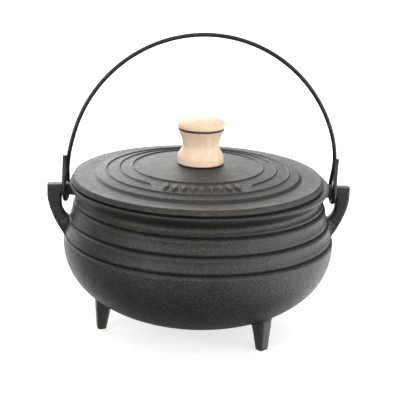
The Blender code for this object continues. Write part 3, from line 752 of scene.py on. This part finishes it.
def outside_outline(s, steps):
    """The casting's outside: from the lowest point up over the bands to the edge of the lid's seat."""
    bowl_parts = 46
    points = [bowl_point(s, s.belly_radius, s.bowl_depth, math.pi / 2 * i / bowl_parts)
              for i in range(bowl_parts + 1)]
    below = s.belly_radius
    flare_foot = s.rim_height - s.lip_flare
    tops = [height - s.ledge for _, height in steps[1:]] + [flare_foot]
    for (radius, height), top in zip(steps, tops):
        wall = band_wall(s, radius, height, top, 18)
        ledge_foot = (below, height - s.ledge)
        points.append(ledge_foot)
        points += rounded(ledge_foot, (below, height), wall[0], 8)
        points += wall
        below = radius
    ledge_top = s.rim_height - s.rim_step
    points += s_curve((below, flare_foot), (s.rim_radius, ledge_top - s.lip_face), 16)
    points += rounded((s.rim_radius, ledge_top - s.lip_round), (s.rim_radius, ledge_top),
                      (s.rim_radius - s.lip_round, ledge_top), 5)
    seat_edge = s.rim_radius - s.rim_ledge
    return points + [(seat_edge + s.seat_fillet, ledge_top), (seat_edge, ledge_top + s.seat_fillet),
                     (seat_edge, s.rim_height - s.seat_bevel), (seat_edge - s.seat_bevel, s.rim_height)]


def inside_outline(s, steps):
    """The casting's inside: from the mouth down past the bands to the bottom."""
    bowl_parts = 36
    bowl_start = math.radians(83.0)
    points = rounded((s.mouth_radius + s.mouth_round, s.rim_height), (s.mouth_radius, s.rim_height),
                     (s.mouth_radius, s.rim_height - s.mouth_round), 4)
    points.append((s.mouth_radius, steps[-1][1]))
    for radius, height in steps[-2::-1]:
        points += s_curve(points[-1], (radius - s.wall, height), 8)
    return points + [bowl_point(s, s.belly_radius - s.wall, s.bowl_depth - s.wall,
                                bowl_start * (1 - i / bowl_parts)) for i in range(bowl_parts + 1)]


def pot_outline(s):
    """The casting's section: outside from the lowest point up to the rim, then back down the inside."""
    steps = band_steps(s)
    outside = outside_outline(s, steps)
    inside = inside_outline(s, steps)
    outside[0] = (0.0, outside[0][1])
    inside[-1] = (0.0, inside[-1][1])
    return distinct(outside + inside)


def outer_radius(outline, height):
    """Radius of the casting's outside at a height."""
    for (r0, z0), (r1, z1) in zip(outline[:-1], outline[1:]):
        if z0 <= height <= z1 and z1 > z0:
            return r0 + (r1 - r0) * (height - z0) / (z1 - z0)
    raise ValueError(f"the pot has no outside at height {height:.4f}")


def ear_outline(s, ear, outline):
    """One ear from the front: bridge, horn and the hole between horn and neck."""
    ear_top = s.rim_height - ear.top_drop
    bridge_bottom = ear_top - ear.bridge
    horn_outer = POT_HIGH.x
    horn_inner = horn_outer - ear.horn_width
    root = s.rim_radius - s.neck_inset - s.wall / 2
    foot = ear_top - ear.horn_depth
    foot_x = outer_radius(outline, foot)
    hole = bridge_bottom - ear.hole_depth
    hole_x = outer_radius(outline, hole)
    corner_foot = (horn_outer, ear_top - ear.corner)
    straight_end = (horn_outer, ear_top - ear.horn_straight)
    hole_side = (horn_inner, bridge_bottom - ear.hole_straight)
    points = [(root, ear_top)]
    points += rounded((horn_outer - ear.corner, ear_top), (horn_outer, ear_top), corner_foot, 4)
    points += between(corner_foot, straight_end, 6)
    points += curve_between(straight_end, (horn_outer - ear.horn_lean, straight_end[1] - ear.horn_belly),
                            (foot_x, foot), 24)
    points += [(foot_x - s.wall / 2, foot), (hole_x - s.wall / 2, hole)]
    points += curve_between((hole_x + s.wall / 2, hole),
                            (horn_inner - ear.hole_bend_in, hole + ear.hole_bend_up), hole_side, 16)
    points += between(hole_side, (horn_inner, bridge_bottom), 6)
    points += rounded((horn_inner, bridge_bottom - ear.hole_corner), (horn_inner, bridge_bottom),
                      (horn_inner - ear.hole_corner, bridge_bottom), 3)
    points.append((root, bridge_bottom))
    return distinct(points)


def edge_shares(s, ear, shape, outline):
    """The part of the edge rounding that each point takes: little at the top and none inside the wall."""
    ear_top = s.rim_height - ear.top_drop
    full_below = 0.5 * ear.bridge
    shares = []
    for x, z in shape:
        outside = x - outer_radius(outline, z)
        by_height = eased(ear.top_edge, 1.0, (ear_top - z) / full_below)
        shares.append(min(by_height, eased(0.0, 1.0, outside / ear.edge)))
    return shares


def inset(points, amounts):
    """A closed outline drawn in, each point by its own amount along the bisector of its corner."""
    sharpest = 0.5
    count = len(points)
    area = sum(a[0] * b[1] - b[0] * a[1] for a, b in zip(points, points[1:] + points[:1]))
    turn = 1.0 if area > 0 else -1.0
    moved = []
    for i, point in enumerate(points):
        before = (Vector(point) - Vector(points[i - 1])).normalized()
        after = (Vector(points[(i + 1) % count]) - Vector(point)).normalized()
        normals = [Vector((-edge.y, edge.x)) * turn for edge in (before, after)]
        middle = (normals[0] + normals[1]).normalized()
        moved.append(tuple(Vector(point) + middle * amounts[i] / max(middle.dot(normals[0]), sharpest)))
    return moved


def plate(outline, shares, thickness, edge, steps):
    """A plate with its outline in X and Z, centred on Y = 0, with its edges rounded in layers."""
    layers = []
    for step in range(steps + 1):
        turn = math.pi / 2 * step / steps
        layers.append((edge * (1 - math.sin(turn)), thickness / 2 - edge * (1 - math.cos(turn))))
    levels = [(drawn_in, -y) for drawn_in, y in layers] + [(drawn_in, y) for drawn_in, y in layers[::-1]]
    rings = []
    for drawn_in, y in levels:
        section = inset(outline, [drawn_in * part for part in shares])
        rings.append([(x, y, z) for x, z in section])
    return shell(rings)


def leg_section(leg, middle, depth, width, height):
    """A level ring of points: a rectangle with round corners, its longer way along X."""
    sides = 40
    corner = leg.corner * min(width, depth)
    ring = []
    for side in range(sides):
        turn = 2 * math.pi * (side + 0.5) / sides
        x = math.copysign(depth / 2 - corner, math.cos(turn)) + corner * math.cos(turn)
        y = math.copysign(width / 2 - corner, math.sin(turn)) + corner * math.sin(turn)
        ring.append(Vector((middle + x, y, height)))
    return ring


def leg_mesh(s, leg, index):
    """One tapered leg from the floor into the bowl's wall."""
    edge_steps, rises = 4, 16
    centre = s.belly_radius - leg.inset
    inside_wall = s.wall / 2
    meeting = bowl_height(s, centre + leg.top_depth / 2 + abs(leg.shift)) + inside_wall
    heights = [leg.foot_edge * (1 - math.cos(math.pi / 2 * i / edge_steps)) for i in range(edge_steps)]
    heights += [leg.foot_edge + (meeting - leg.foot_edge) * i / rises for i in range(rises + 1)]
    rings = []
    for height in heights:
        up = height / meeting
        below_edge = max(1 - height / leg.foot_edge, 0.0)
        tuck = leg.foot_edge * (1 - math.sqrt(max(1 - below_edge ** 2, 0.0)))
        depth = leg.foot_depth + (leg.top_depth - leg.foot_depth) * up - 2 * tuck
        width = leg.foot_width + (leg.top_width - leg.foot_width) * up - 2 * tuck
        rings.append(leg_section(leg, centre + leg.splay * (1 - up), depth, width, height))
    spin = Quaternion((0.0, 0.0, 1.0), leg.first + 2 * math.pi * index / leg.count)
    placed = [[spin @ point + Vector((leg.shift, 0.0, 0.0)) for point in ring] for ring in rings]
    for point in placed[-1]:
        point.z = min(bowl_height(s, math.hypot(point.x, point.y)) + inside_wall, meeting)
    return shell(placed)


def refine_joins(bm, reach):
    """Split the long edges near the joins, so that a fillet has points to move."""
    tree = join_tree(bm)
    near = {vert for vert in bm.verts if tree.find(vert.co)[2] < reach}
    long_edges = [edge for edge in bm.edges if edge.verts[0] in near and edge.verts[1] in near
                  and edge.calc_length() > reach / 3]
    bmesh.ops.subdivide_edges(bm, edges=long_edges, cuts=1)
    bmesh.ops.triangulate(bm, faces=[face for face in bm.faces if len(face.verts) > 4])


def soften_joins(made, ear, rim_height, passes):
    """Round the inner corners where faces of different material slots meet, as a cast fillet does.

    The fillet is small beside the bridges, which keeps the bail's hooks free.
    """
    merge_within = 0.00005
    pull = 0.55
    widens_over = 0.5
    bm = bmesh.new()
    bm.from_mesh(made.data)
    bmesh.ops.remove_doubles(bm, verts=bm.verts, dist=merge_within)
    for _ in range(2):
        refine_joins(bm, ear.blend)
    tree = join_tree(bm)
    weights = {}
    for vert in bm.verts:
        away = tree.find(vert.co)[2]
        below_rim = (rim_height - vert.co.z) / (ear.top_drop + ear.bridge)
        reach = eased(ear.blend_high, ear.blend, (below_rim - 1.0) / widens_over)
        if away < reach:
            weights[vert] = eased(1.0, 0.0, away / reach)
    for _ in range(passes):
        moved = {}
        for vert, weight in weights.items():
            around = [edge.other_vert(vert).co for edge in vert.link_edges]
            middle = sum(around, Vector()) / len(around)
            moved[vert] = vert.co.lerp(middle, pull * weight)
        for vert, place in moved.items():
            vert.co = place
    for face in bm.faces:
        face.material_index = 0
    bm.to_mesh(made.data)
    bm.free()


def join_tree(bm):
    """A search tree of points along the edges between faces of different material slots."""
    parts = 4
    spots = []
    for edge in bm.edges:
        if len({face.material_index for face in edge.link_faces}) > 1:
            start, end = edge.verts
            spots += [start.co.lerp(end.co, part / parts) for part in range(parts + 1)]
    tree = kdtree.KDTree(len(spots))
    for i, spot in enumerate(spots):
        tree.insert(spot, i)
    tree.balance()
    return tree


BODY_SLOT, JOINED_SLOT = 0, 1


def mark(made, slot_index):
    """Give every face of a mesh one of two material slots, so that its joins can be found later."""
    while len(made.data.materials) <= JOINED_SLOT:
        made.data.materials.append(made.data.materials[0])
    count = len(made.data.polygons)
    made.data.polygons.foreach_set("material_index", np.full(count, slot_index, np.int32))


class OBJECT_OT_iron_pot_body(bpy.types.Operator):
    """Make the pot: stepped body, rim, two ears and three legs in one casting"""

    bl_idname = "object.iron_pot_body"
    bl_label = "Pot"

    def execute(self, context):
        s = context.scene.iron_pot_body
        ear = context.scene.iron_pot_ears
        leg = context.scene.iron_pot_legs
        iron = casting_finish("pot_cast_iron", context.scene.iron_pot_finish.pot_grain)
        outline = pot_outline(s)
        body = mesh_object("pot_casting", turned(outline, CASTING_FACETS), iron)
        mark(body, BODY_SLOT)
        shape = ear_outline(s, ear, outline)
        shares = edge_shares(s, ear, shape, outline)
        tools = []
        for side in (1, -1):
            bm = plate([(side * x, z) for x, z in shape], shares, ear.thickness, ear.edge, steps=6)
            tools.append(mesh_object(f"ear_{side}", bm, iron))
        for index in range(leg.count):
            tools.append(mesh_object(f"leg_{index + 1}", leg_mesh(s, leg, index), iron))
        for tool in tools:
            mark(tool, JOINED_SLOT)
        made = united(body, tools)
        soften_joins(made, ear, s.rim_height, passes=14)
        mesh = made.data
        mesh.materials.clear()
        mesh.materials.append(iron)
        mesh.shade_smooth()
        mesh.set_sharp_from_angle(angle=math.radians(42.0))
        finish_piece(made, "pot", "pot_iron", "pot")
        return {"FINISHED"}


# ---------------------------------------------------------------- bail

def rod_shift(s, height):
    """How far the rod stands towards +X at a height above the pivot."""
    return eased(s.offset, s.offset + s.arch_shift, height / s.shift_rise)


def hook_points(s, strand_x, side):
    """Centre line of one hook: down the tail, round under the bridge and up the strand."""
    runs, bends = 22, 30
    tail_x = strand_x + (s.spread_right if side > 0 else s.spread_left)
    points = []
    for step in range(runs):
        left = 1 - step / runs
        height = s.tail * left
        points.append((side * (tail_x + s.tail_lean * left) + rod_shift(s, height),
                       -eased(s.hook_radius, s.tail_offset, left), height))
    for step in range(bends + 1):
        turn = math.pi * step / bends
        points.append((side * eased(tail_x, strand_x, step / bends) + rod_shift(s, 0.0),
                       -s.hook_radius * math.cos(turn), -s.hook_radius * math.sin(turn)))
    for step in range(1, runs + 1):
        height = s.strand_run * step / runs
        points.append((side * (strand_x + s.strand_lean * step / runs) + rod_shift(s, height),
                       eased(s.hook_radius, 0.0, height / s.strand_join), height))
    return points


def bail_points(s, strand_x):
    """The rod's centre line from the right tail over the arch to the left tail."""
    arch_steps = 150
    half_width = strand_x + s.strand_lean
    power = 2 / s.arch_fullness
    arch = []
    for step in range(1, arch_steps):
        turn = math.pi * step / arch_steps
        height = s.strand_run + (s.rise - s.strand_run) * math.sin(turn) ** power
        reach = math.copysign(half_width * abs(math.cos(turn)) ** power, math.cos(turn))
        arch.append((reach + rod_shift(s, height), eased(s.hook_radius, 0.0, height / s.strand_join), height))
    return hook_points(s, strand_x, 1) + arch + hook_points(s, strand_x, -1)[::-1]


class OBJECT_OT_iron_pot_bail(bpy.types.Operator):
    """Make the bail: one round rod swept along its path with a node tree"""

    bl_idname = "object.iron_pot_bail"
    bl_label = "Bail"

    def execute(self, context):
        s = context.scene.iron_pot_bail
        body = context.scene.iron_pot_body
        strand_x = body.rim_radius + s.rim_gap + s.rod / 2 + s.offset
        path = [Vector(point) + PIVOT for point in bail_points(s, strand_x)]
        first = path[0] + (path[1] - path[0]).normalized() * s.chamfer
        last = path[-1] + (path[-2] - path[-1]).normalized() * s.chamfer
        path = [path[0], first, *path[1:-1], last, path[-1]]
        curve = bpy.data.curves.new("bail_rod", "CURVE")
        curve.dimensions = "3D"
        spline = curve.splines.new("POLY")
        spline.points.add(len(path) - 1)
        for point, place in zip(spline.points, path):
            point.co = (*place, 1.0)
        for end in (0, -1):
            spline.points[end].radius = 1 - 2 * s.chamfer / s.rod
        made = bpy.data.objects.new("bail_rod", curve)
        context.scene.collection.objects.link(made)
        finish = blackened_rod("blackened_rod", context.scene.iron_pot_finish)
        made = run_tree(made, rod_tree(), {"Rod radius": s.rod / 2, "Sides": s.sides, "Material": finish})
        made.data.shade_smooth()
        made.data.set_sharp_from_angle(angle=math.radians(38.0))
        finish_piece(made, "bail", "bail_rod", "bail")
        return {"FINISHED"}


# ---------------------------------------------------------------- lid

def dome_radius(s):
    """Radius of the dome, which is where the step starts."""
    return s.radius - s.flange - s.step_width


def dome_height(s, radius):
    """Height of the lid's upper face at a radius inside the step."""
    foot = s.seat + s.thickness + s.step_height
    return foot + s.dome_rise * (1 - (radius / dome_radius(s)) ** 2)


def dome_run(s, start, end, steps):
    """Points on the dome's upper face past start out to end."""
    radii = [start + (end - start) * i / steps for i in range(1, steps + 1)]
    return [(radius, dome_height(s, radius)) for radius in radii]


def lid_top(s):
    """The lid's upper face from the hole out to the lower edge, and which points lie on a raised line.

    A point on a line maps to (the line's number, its share of the line's height).
    """
    seat_pad = dome_height(s, s.pad)
    points = [(s.hole, seat_pad), *between((s.hole, seat_pad), (s.pad, seat_pad), 6), (s.pad, seat_pad)]
    line_of = {}
    across = [i / 3.5 for i in range(-3, 4)]
    edge = s.pad
    for line in range(s.line_count):
        middle = s.line_inner + s.line_pitch * line
        points += dome_run(s, edge, middle - s.line_half, 6)
        for off in across:
            radius = middle + s.line_half * off
            line_of[len(points)] = (line, 0.5 + 0.5 * math.cos(math.pi * off))
            points.append((radius, dome_height(s, radius)))
        edge = middle + s.line_half
        points.append((edge, dome_height(s, edge)))
    points += dome_run(s, edge, dome_radius(s), 4)
    flange_top = s.seat + s.thickness
    parts = 12
    for i in range(1, parts + 1):
        radius = dome_radius(s) + s.step_width * i / parts
        points.append((radius, eased(dome_height(s, dome_radius(s)), flange_top, i / parts)))
    outer = s.radius - s.draft
    round_start = (outer - s.edge_round, flange_top)
    points += between((s.radius - s.flange, flange_top), round_start, 5)
    # This ring lies twice, here and as the rounding's first, and the rubbed tone on the edge depends on it.
    points.append(round_start)
    points += rounded(round_start, (outer, flange_top),
                      (outer + s.edge_lean, flange_top - s.edge_round), 5)
    points += rounded((s.radius, s.seat + s.foot_round), (s.radius, s.seat),
                      (s.radius - s.foot_round, s.seat), 3)
    return points, line_of


def lid_underside(s, mouth_radius, boss_foot):
    """The lid's lower face from the locating ring in to the hole through the boss."""
    outer = mouth_radius - s.ring_play
    inner = outer - s.ring_width
    foot = s.seat - s.ring_depth
    points = [(outer, s.seat)]
    points += rounded((outer, foot + s.ring_round), (outer, foot), (outer - s.ring_round, foot), 3)
    points += rounded((inner + s.ring_round, foot), (inner, foot), (inner, foot + s.ring_round), 3)
    points.append((inner, s.seat))
    radii = [dome_radius(s) * (1 - i / 14) for i in range(12)]
    points += [(radius, dome_height(s, radius) - s.wall) for radius in radii]
    boss = s.boss + abs(s.centre)
    fillet = boss + s.boss_fillet
    points += curve_between((fillet, dome_height(s, fillet) - s.wall),
                            (boss, dome_height(s, boss) - s.wall), (boss, boss_foot + s.boss_bevel), 5)
    return points + [(boss - s.boss_bevel, boss_foot), (s.hole, boss_foot)]


class OBJECT_OT_iron_pot_lid(bpy.types.Operator):
    """Make the lid: flange, soft step, dome and three raised lines, the middle one open in front"""

    bl_idname = "object.iron_pot_lid"
    bl_label = "Lid"

    def execute(self, context):
        s = context.scene.iron_pot_lid
        boss_foot = WASHER_HIGH.z + TOUCH_GAP
        outline, line_of = lid_top(s)
        outline += lid_underside(s, context.scene.iron_pot_body.mouth_radius, boss_foot)
        broken = s.line_count // 2
        moves_over = 0.5 * s.boss

        def centre(index):
            return eased(0.0, s.centre, (outline[index][0] - s.hole) / moves_over)

        def lift(index, turn):
            if index not in line_of:
                return 0.0
            line, height = line_of[index]
            height *= s.line_height
            if line != broken:
                return height
            past_front = turn + math.pi / 2
            from_front = abs(math.atan2(math.sin(past_front), math.cos(past_front)))
            return height * eased(0.0, 1.0, (from_front - s.line_gap / 2) / s.line_end)

        bm = turned(outline, CASTING_FACETS, centre, lift)
        made = mesh_object("lid_casting", bm, lid_iron(), sharp=50.0)
        finish_piece(made, "lid", "lid_iron", "lid")
        return {"FINISHED"}


class OBJECT_OT_iron_pot_ornament(bpy.types.Operator):
    """Make the row of raised lozenges in front on the lid with a node tree"""

    bl_idname = "object.iron_pot_ornament"
    bl_label = "Row of lozenges"

    def execute(self, context):
        s = context.scene.iron_pot_ornament
        lid = context.scene.iron_pot_lid
        row_radius = lid.line_inner + lid.line_pitch
        rise = dome_height(lid, row_radius - s.along / 2) - dome_height(lid, row_radius + s.along / 2)
        sink = s.sink * s.relief
        mesh = bpy.data.meshes.new("lid_lozenges")
        made = bpy.data.objects.new("lid_lozenges", mesh)
        context.scene.collection.objects.link(made)
        values = {
            "Count": s.count, "Row angle": s.row_angle, "Row radius": row_radius,
            "Foot height": dome_height(lid, row_radius) - sink, "Slope": math.atan2(rise, s.along),
            "Centre": lid.centre, "Across": s.across, "Along": s.along, "Relief": s.relief + sink,
            "Top share": s.slant, "Material": lid_iron(),
        }
        made = run_tree(made, lozenge_tree(), values)
        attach(made, "lid")
        return {"FINISHED"}


# ---------------------------------------------------------------- knob and fastening

def knob_bore(fastening):
    """The knob's bore for the insert, from its blind end down to the wider mouth at the foot."""
    bore = fastening.insert_radius + fastening.gap
    bore_top = INSERT_HIGH.z + 2 * fastening.gap
    mouth = (INSERT_HIGH.y - INSERT_LOW.y) / 2 + fastening.gap
    mouth_top = KNOB_LOW.z + fastening.insert_flange + fastening.gap
    return [(0.0, bore_top), (bore, bore_top), (bore, mouth_top), (mouth, mouth_top), (mouth, KNOB_LOW.z)]


def knob_outline(s, fastening):
    """The knob's section from the blind end of its bore down, out round the foot and over the cap."""
    base, top = KNOB_LOW.z, KNOB_HIGH.z
    height = top - base
    groove = top - s.groove_drop
    waist = base + s.waist_share * height
    points = knob_bore(fastening)
    foot = (s.foot_radius - s.foot_round, base)
    points += between(points[-1], foot, 3)
    points += rounded(foot, (s.foot_radius, base), (s.foot_radius, base + s.foot_round), 6)
    straight_top = (s.foot_radius, base + s.foot_share * height)
    points.append(straight_top)
    points += s_curve(straight_top, (s.waist_radius, waist), 16)
    shoulder = s.cap_radius - s.cap_overhang
    under = groove - s.groove_width / 2
    flare_steps, groove_steps, cap_steps = 16, 8, 24
    for i in range(1, flare_steps + 1):
        up = i / flare_steps
        points.append((s.waist_radius + (shoulder - s.waist_radius) * up ** s.waist_flare,
                       waist + (under - waist) * up))
    for i in range(1, groove_steps):
        dip = s.groove_depth * math.sin(math.pi * i / groove_steps)
        points.append((shoulder - dip, under + s.groove_width * i / groove_steps))
    cap_foot = (shoulder, groove + s.groove_width / 2)
    points.append(cap_foot)
    widest = cap_foot[1] + s.cap_edge
    points += s_curve(cap_foot, (s.cap_radius, widest), 4)
    power = 2 / s.cap_fullness
    for i in range(1, cap_steps):
        turn = math.pi / 2 * i / cap_steps
        points.append((s.cap_radius * math.cos(turn) ** power,
                       widest + (top - widest) * math.sin(turn) ** power))
    points.append((0.0, top))
    return distinct(points)


class OBJECT_OT_iron_pot_knob(bpy.types.Operator):
    """Make the turned wooden knob with its burnt line"""

    bl_idname = "object.iron_pot_knob"
    bl_label = "Knob"

    def execute(self, context):
        s = context.scene.iron_pot_knob
        fastening = context.scene.iron_pot_fastening
        wood = turned_wood("pale_turned_wood", context.scene.iron_pot_finish,
                           KNOB_HIGH.z - s.groove_drop, s.groove_width)
        made = mesh_object("wooden_knob", turned(knob_outline(s, fastening), KNOB_FACETS), wood, sharp=45.0)
        finish_piece(made, "lid", "knob_wood", "knob")
        return {"FINISHED"}


def circle(radius, height, facets):
    """A level ring of points round Z."""
    turns = [2 * math.pi * i / facets for i in range(facets)]
    return [(radius * math.cos(turn), radius * math.sin(turn), height) for turn in turns]


def threaded_shank(s, start, end):
    """The screw's shank as rings of points whose radius follows the thread, drawn in at the tip."""
    rows_per_turn = 8
    tip_inset, tip_turns = 0.3 * s.screw_radius, 1.5
    rows = max(int((end - start) / s.thread_pitch * rows_per_turn), 2)
    rings = []
    for row in range(rows + 1):
        height = start + (end - start) * row / rows
        drawn_in = eased(0.0, tip_inset, 1 - (end - height) / (tip_turns * s.thread_pitch))
        ring = []
        for step in range(SCREW_FACETS):
            turn = 2 * math.pi * step / SCREW_FACETS
            wave = (height / s.thread_pitch - turn / (2 * math.pi)) % 1.0
            radius = s.screw_radius - drawn_in - s.thread_depth * abs(2 * wave - 1)
            ring.append((radius * math.cos(turn), radius * math.sin(turn), height))
        rings.append(ring)
    return rings


def make_screw(s, steel):
    """The slotted screw: a head with a domed lower face, the threaded shank and the driver's slot."""
    head_foot = SCREW_LOW.z
    head_top = head_foot + s.head_height
    head = [(0.5 * s.head_radius, head_foot)]
    head += rounded((0.62 * s.head_radius, head_foot), (s.head_radius, head_foot),
                    (s.head_radius, head_foot + 0.45 * s.head_height), 6)
    head += [(s.head_radius, head_top - s.bevel), (s.head_radius - s.bevel, head_top),
             (s.screw_radius, head_top)]
    rings = [circle(radius, height, SCREW_FACETS) for radius, height in head]
    rings += threaded_shank(s, head_top + s.head_undercut, SCREW_HIGH.z)
    screw = mesh_object("lid_screw", shell(rings), steel, sharp=35.0)
    slot = bmesh.new()
    bmesh.ops.create_cube(slot, size=1.0)
    bmesh.ops.scale(slot, vec=(3 * s.head_radius, s.slot_width, 2 * s.slot_depth), verts=slot.verts)
    bmesh.ops.translate(slot, vec=(0.0, 0.0, head_foot), verts=slot.verts)
    return united(screw, [mesh_object("slot", slot, steel)], "DIFFERENCE")


def make_washer(s, steel):
    """The flat washer under the screw's head."""
    outer = (WASHER_HIGH.y - WASHER_LOW.y) / 2
    low, high = WASHER_LOW.z, WASHER_HIGH.z
    outline = [(s.washer_bore, low), (outer - s.bevel, low), (outer, low + s.bevel), (outer, high - s.bevel),
               (outer - s.bevel, high), (s.washer_bore, high)]
    return mesh_object("lid_washer", turned(outline, WASHER_FACETS), steel)


def make_insert(s, brass):
    """The knob's insert: a flange and a barbed sleeve."""
    bore = s.screw_radius + s.gap
    wide = (INSERT_HIGH.y - INSERT_LOW.y) / 2
    base, top = INSERT_LOW.z, INSERT_HIGH.z
    flange_top = base + s.insert_flange
    core = s.insert_radius - s.barb_depth
    barbs = top - flange_top - 2 * s.barb_margin
    outline = [(bore, base), (wide, base), (wide, flange_top), (s.insert_radius, flange_top)]
    for i in range(s.barb_count):
        foot = flange_top + s.barb_margin + barbs * i / s.barb_count
        outline += [(core, foot), (s.insert_radius, foot + s.barb_rise),
                    (s.insert_radius, foot + s.barb_height)]
    outline += [(core, top), (bore, top)]
    return mesh_object("knob_sleeve", turned(outline, WASHER_FACETS), brass, sharp=30.0)


class OBJECT_OT_iron_pot_fastening(bpy.types.Operator):
    """Make the slotted screw, its washer and the knob's flanged insert"""

    bl_idname = "object.iron_pot_fastening"
    bl_label = "Screw, washer and insert"

    def execute(self, context):
        s = context.scene.iron_pot_fastening
        finish = context.scene.iron_pot_finish
        steel = bright_metal("plated_steel", finish.steel, 0.30)
        brass = bright_metal("turned_brass", finish.brass, 0.28)
        finish_piece(make_screw(s, steel), "lid", "fastener_steel", "knob_screw")
        finish_piece(make_washer(s, steel), "lid", "fastener_steel", "knob_washer")
        finish_piece(make_insert(s, brass), "lid", "insert_brass", "knob_insert")
        return {"FINISHED"}


# ---------------------------------------------------------------- stage

# Soft round panels of light: (azimuth from the front, elevation, half angle, strength), angles in degrees
PANELS = (
    (-46.0, 12.0, 29.0, 3.9),  # front left
    (8.0, 12.0, 36.0, 1.3),  # front
    (58.0, 8.0, 34.0, 2.9),  # front right
    (90.0, -14.0, 42.0, 2.7),  # right
    (142.0, -24.0, 26.0, 2.2),  # behind on the right, low
    (-158.0, 14.0, 32.0, 1.6),  # behind on the left
    (-150.0, -20.0, 28.0, 1.8),  # behind on the left, low
    (-166.0, 32.0, 44.0, 2.6),  # behind, high
    (-20.0, 75.0, 50.0, 0.7),  # overhead
)
PANEL_EDGE = 0.9  # the part of a panel's half angle over which its light fades
GROUND_FADE = (-0.45, 0.25)  # heights on the sky's unit ball between which the even light changes


def surround(s):
    """A world of soft panels over an even light that is weaker from below."""
    world = bpy.data.worlds.new("surround")
    world.use_nodes = True
    tree = world.node_tree
    place = tree_node(tree, "ShaderNodeTexCoord").outputs["Generated"]

    def faded(value, low, high, to_low, to_high):
        inputs = {"Value": value, "From Min": low, "From Max": high, "To Min": to_low, "To Max": to_high}
        node = tree_node(tree, "ShaderNodeMapRange", inputs, interpolation_type="SMOOTHSTEP")
        return node.outputs["Result"]

    height = tree_node(tree, "ShaderNodeSeparateXYZ", {"Vector": place}).outputs["Z"]
    light = faded(height, *GROUND_FADE, s.ground_below, s.ground_above)
    for azimuth, elevation, reach, strength in PANELS:
        aim = direction(math.radians(azimuth), math.radians(elevation))
        facing = tree_node(tree, "ShaderNodeVectorMath", {0: place, 1: aim}, operation="DOT_PRODUCT")
        full = math.cos(math.radians(reach * (1 - PANEL_EDGE)))
        patch = faded(facing.outputs["Value"], math.cos(math.radians(reach)), full, 0.0, strength)
        light = tree_maths(tree, "ADD", light, patch)
    background = tree.nodes["Background"]
    background.inputs["Color"].default_value = (1.0, 1.0, 1.0, 1.0)
    tree.links.new(light, background.inputs["Strength"])
    return world


def add_camera(s):
    """The scene's camera, at its angle round the pot and aimed at the target."""
    back = direction(s.azimuth, s.elevation)
    lens = bpy.data.cameras.new("camera")
    lens.lens = s.lens
    lens.sensor_width = 36.0
    lens.shift_x = s.shift
    camera = bpy.data.objects.new("camera", lens)
    camera.location = Vector((0.0, 0.0, s.target_height)) + back * s.distance
    camera.rotation_mode = "QUATERNION"
    camera.rotation_quaternion = (-back).to_track_quat("-Z", "Y") @ Quaternion((0.0, 0.0, 1.0), s.roll)
    bpy.context.scene.collection.objects.link(camera)
    bpy.context.scene.camera = camera


def floor_paint(s):
    """Matt pale paint that glows a little."""
    bench = Finish("pale_floor")
    tone = bench.remap(bench.noise(3.0, 3.0), 0.3, 0.7, s.floor_tone - 0.01, s.floor_tone)
    grey = bench.add("ShaderNodeCombineColor", {"Red": tone, "Green": tone, "Blue": tone})
    return bench.set(Base_Color=grey.outputs["Color"], Roughness=0.9, Specular_IOR_Level=0.1,
                     Emission_Color=(1.0, 1.0, 1.0, 1.0), Emission_Strength=s.floor_glow)


class OBJECT_OT_iron_pot_stage(bpy.types.Operator):
    """Make the camera, the surround of soft panels and the pale floor"""

    bl_idname = "object.iron_pot_stage"
    bl_label = "Stage"

    def execute(self, context):
        s = context.scene.iron_pot_stage
        add_camera(s)
        context.scene.view_settings.view_transform = "Standard"
        context.scene.world = surround(s)
        bm = bmesh.new()
        bmesh.ops.create_grid(bm, x_segments=1, y_segments=1, size=s.floor_side / 2)
        floor = mesh_object("floor", bm, floor_paint(s))
        floor.visible_glossy = False
        floor.visible_diffuse = False
        return {"FINISHED"}


# ---------------------------------------------------------------- panel and registration

OPERATORS = (
    OBJECT_OT_iron_pot_stage,
    OBJECT_OT_iron_pot_body,
    OBJECT_OT_iron_pot_bail,
    OBJECT_OT_iron_pot_lid,
    OBJECT_OT_iron_pot_ornament,
    OBJECT_OT_iron_pot_knob,
    OBJECT_OT_iron_pot_fastening,
)

GROUPS = {
    "iron_pot_body": IronPotBody,
    "iron_pot_ears": IronPotEars,
    "iron_pot_legs": IronPotLegs,
    "iron_pot_bail": IronPotBail,
    "iron_pot_lid": IronPotLid,
    "iron_pot_ornament": IronPotOrnament,
    "iron_pot_knob": IronPotKnob,
    "iron_pot_fastening": IronPotFastening,
    "iron_pot_finish": IronPotFinish,
    "iron_pot_stage": IronPotStage,
}


class VIEW3D_PT_iron_pot(bpy.types.Panel):
    """Lists the operators in the order that they run."""

    bl_label = "Iron pot"
    bl_idname = "VIEW3D_PT_iron_pot"
    bl_space_type = "VIEW_3D"
    bl_region_type = "UI"
    bl_category = "Iron pot"

    def draw(self, context):
        """One button for each operator."""
        for operator in OPERATORS:
            self.layout.operator(operator.bl_idname)


def register():
    """Register the groups, the operators and the panel."""
    for name, group in GROUPS.items():
        bpy.utils.register_class(group)
        setattr(bpy.types.Scene, name, PointerProperty(type=group))
    for operator in OPERATORS:
        bpy.utils.register_class(operator)
    bpy.utils.register_class(VIEW3D_PT_iron_pot)


def unregister():
    """Take back what register does, in reverse."""
    bpy.utils.unregister_class(VIEW3D_PT_iron_pot)
    for operator in reversed(OPERATORS):
        bpy.utils.unregister_class(operator)
    for name, group in reversed(list(GROUPS.items())):
        delattr(bpy.types.Scene, name)
        bpy.utils.unregister_class(group)


def main():
    """Build every piece and the stage."""
    register()
    for operator in OPERATORS:
        group, name = operator.bl_idname.split(".")
        getattr(getattr(bpy.ops, group), name)()


if __name__ == "__main__":
    main()
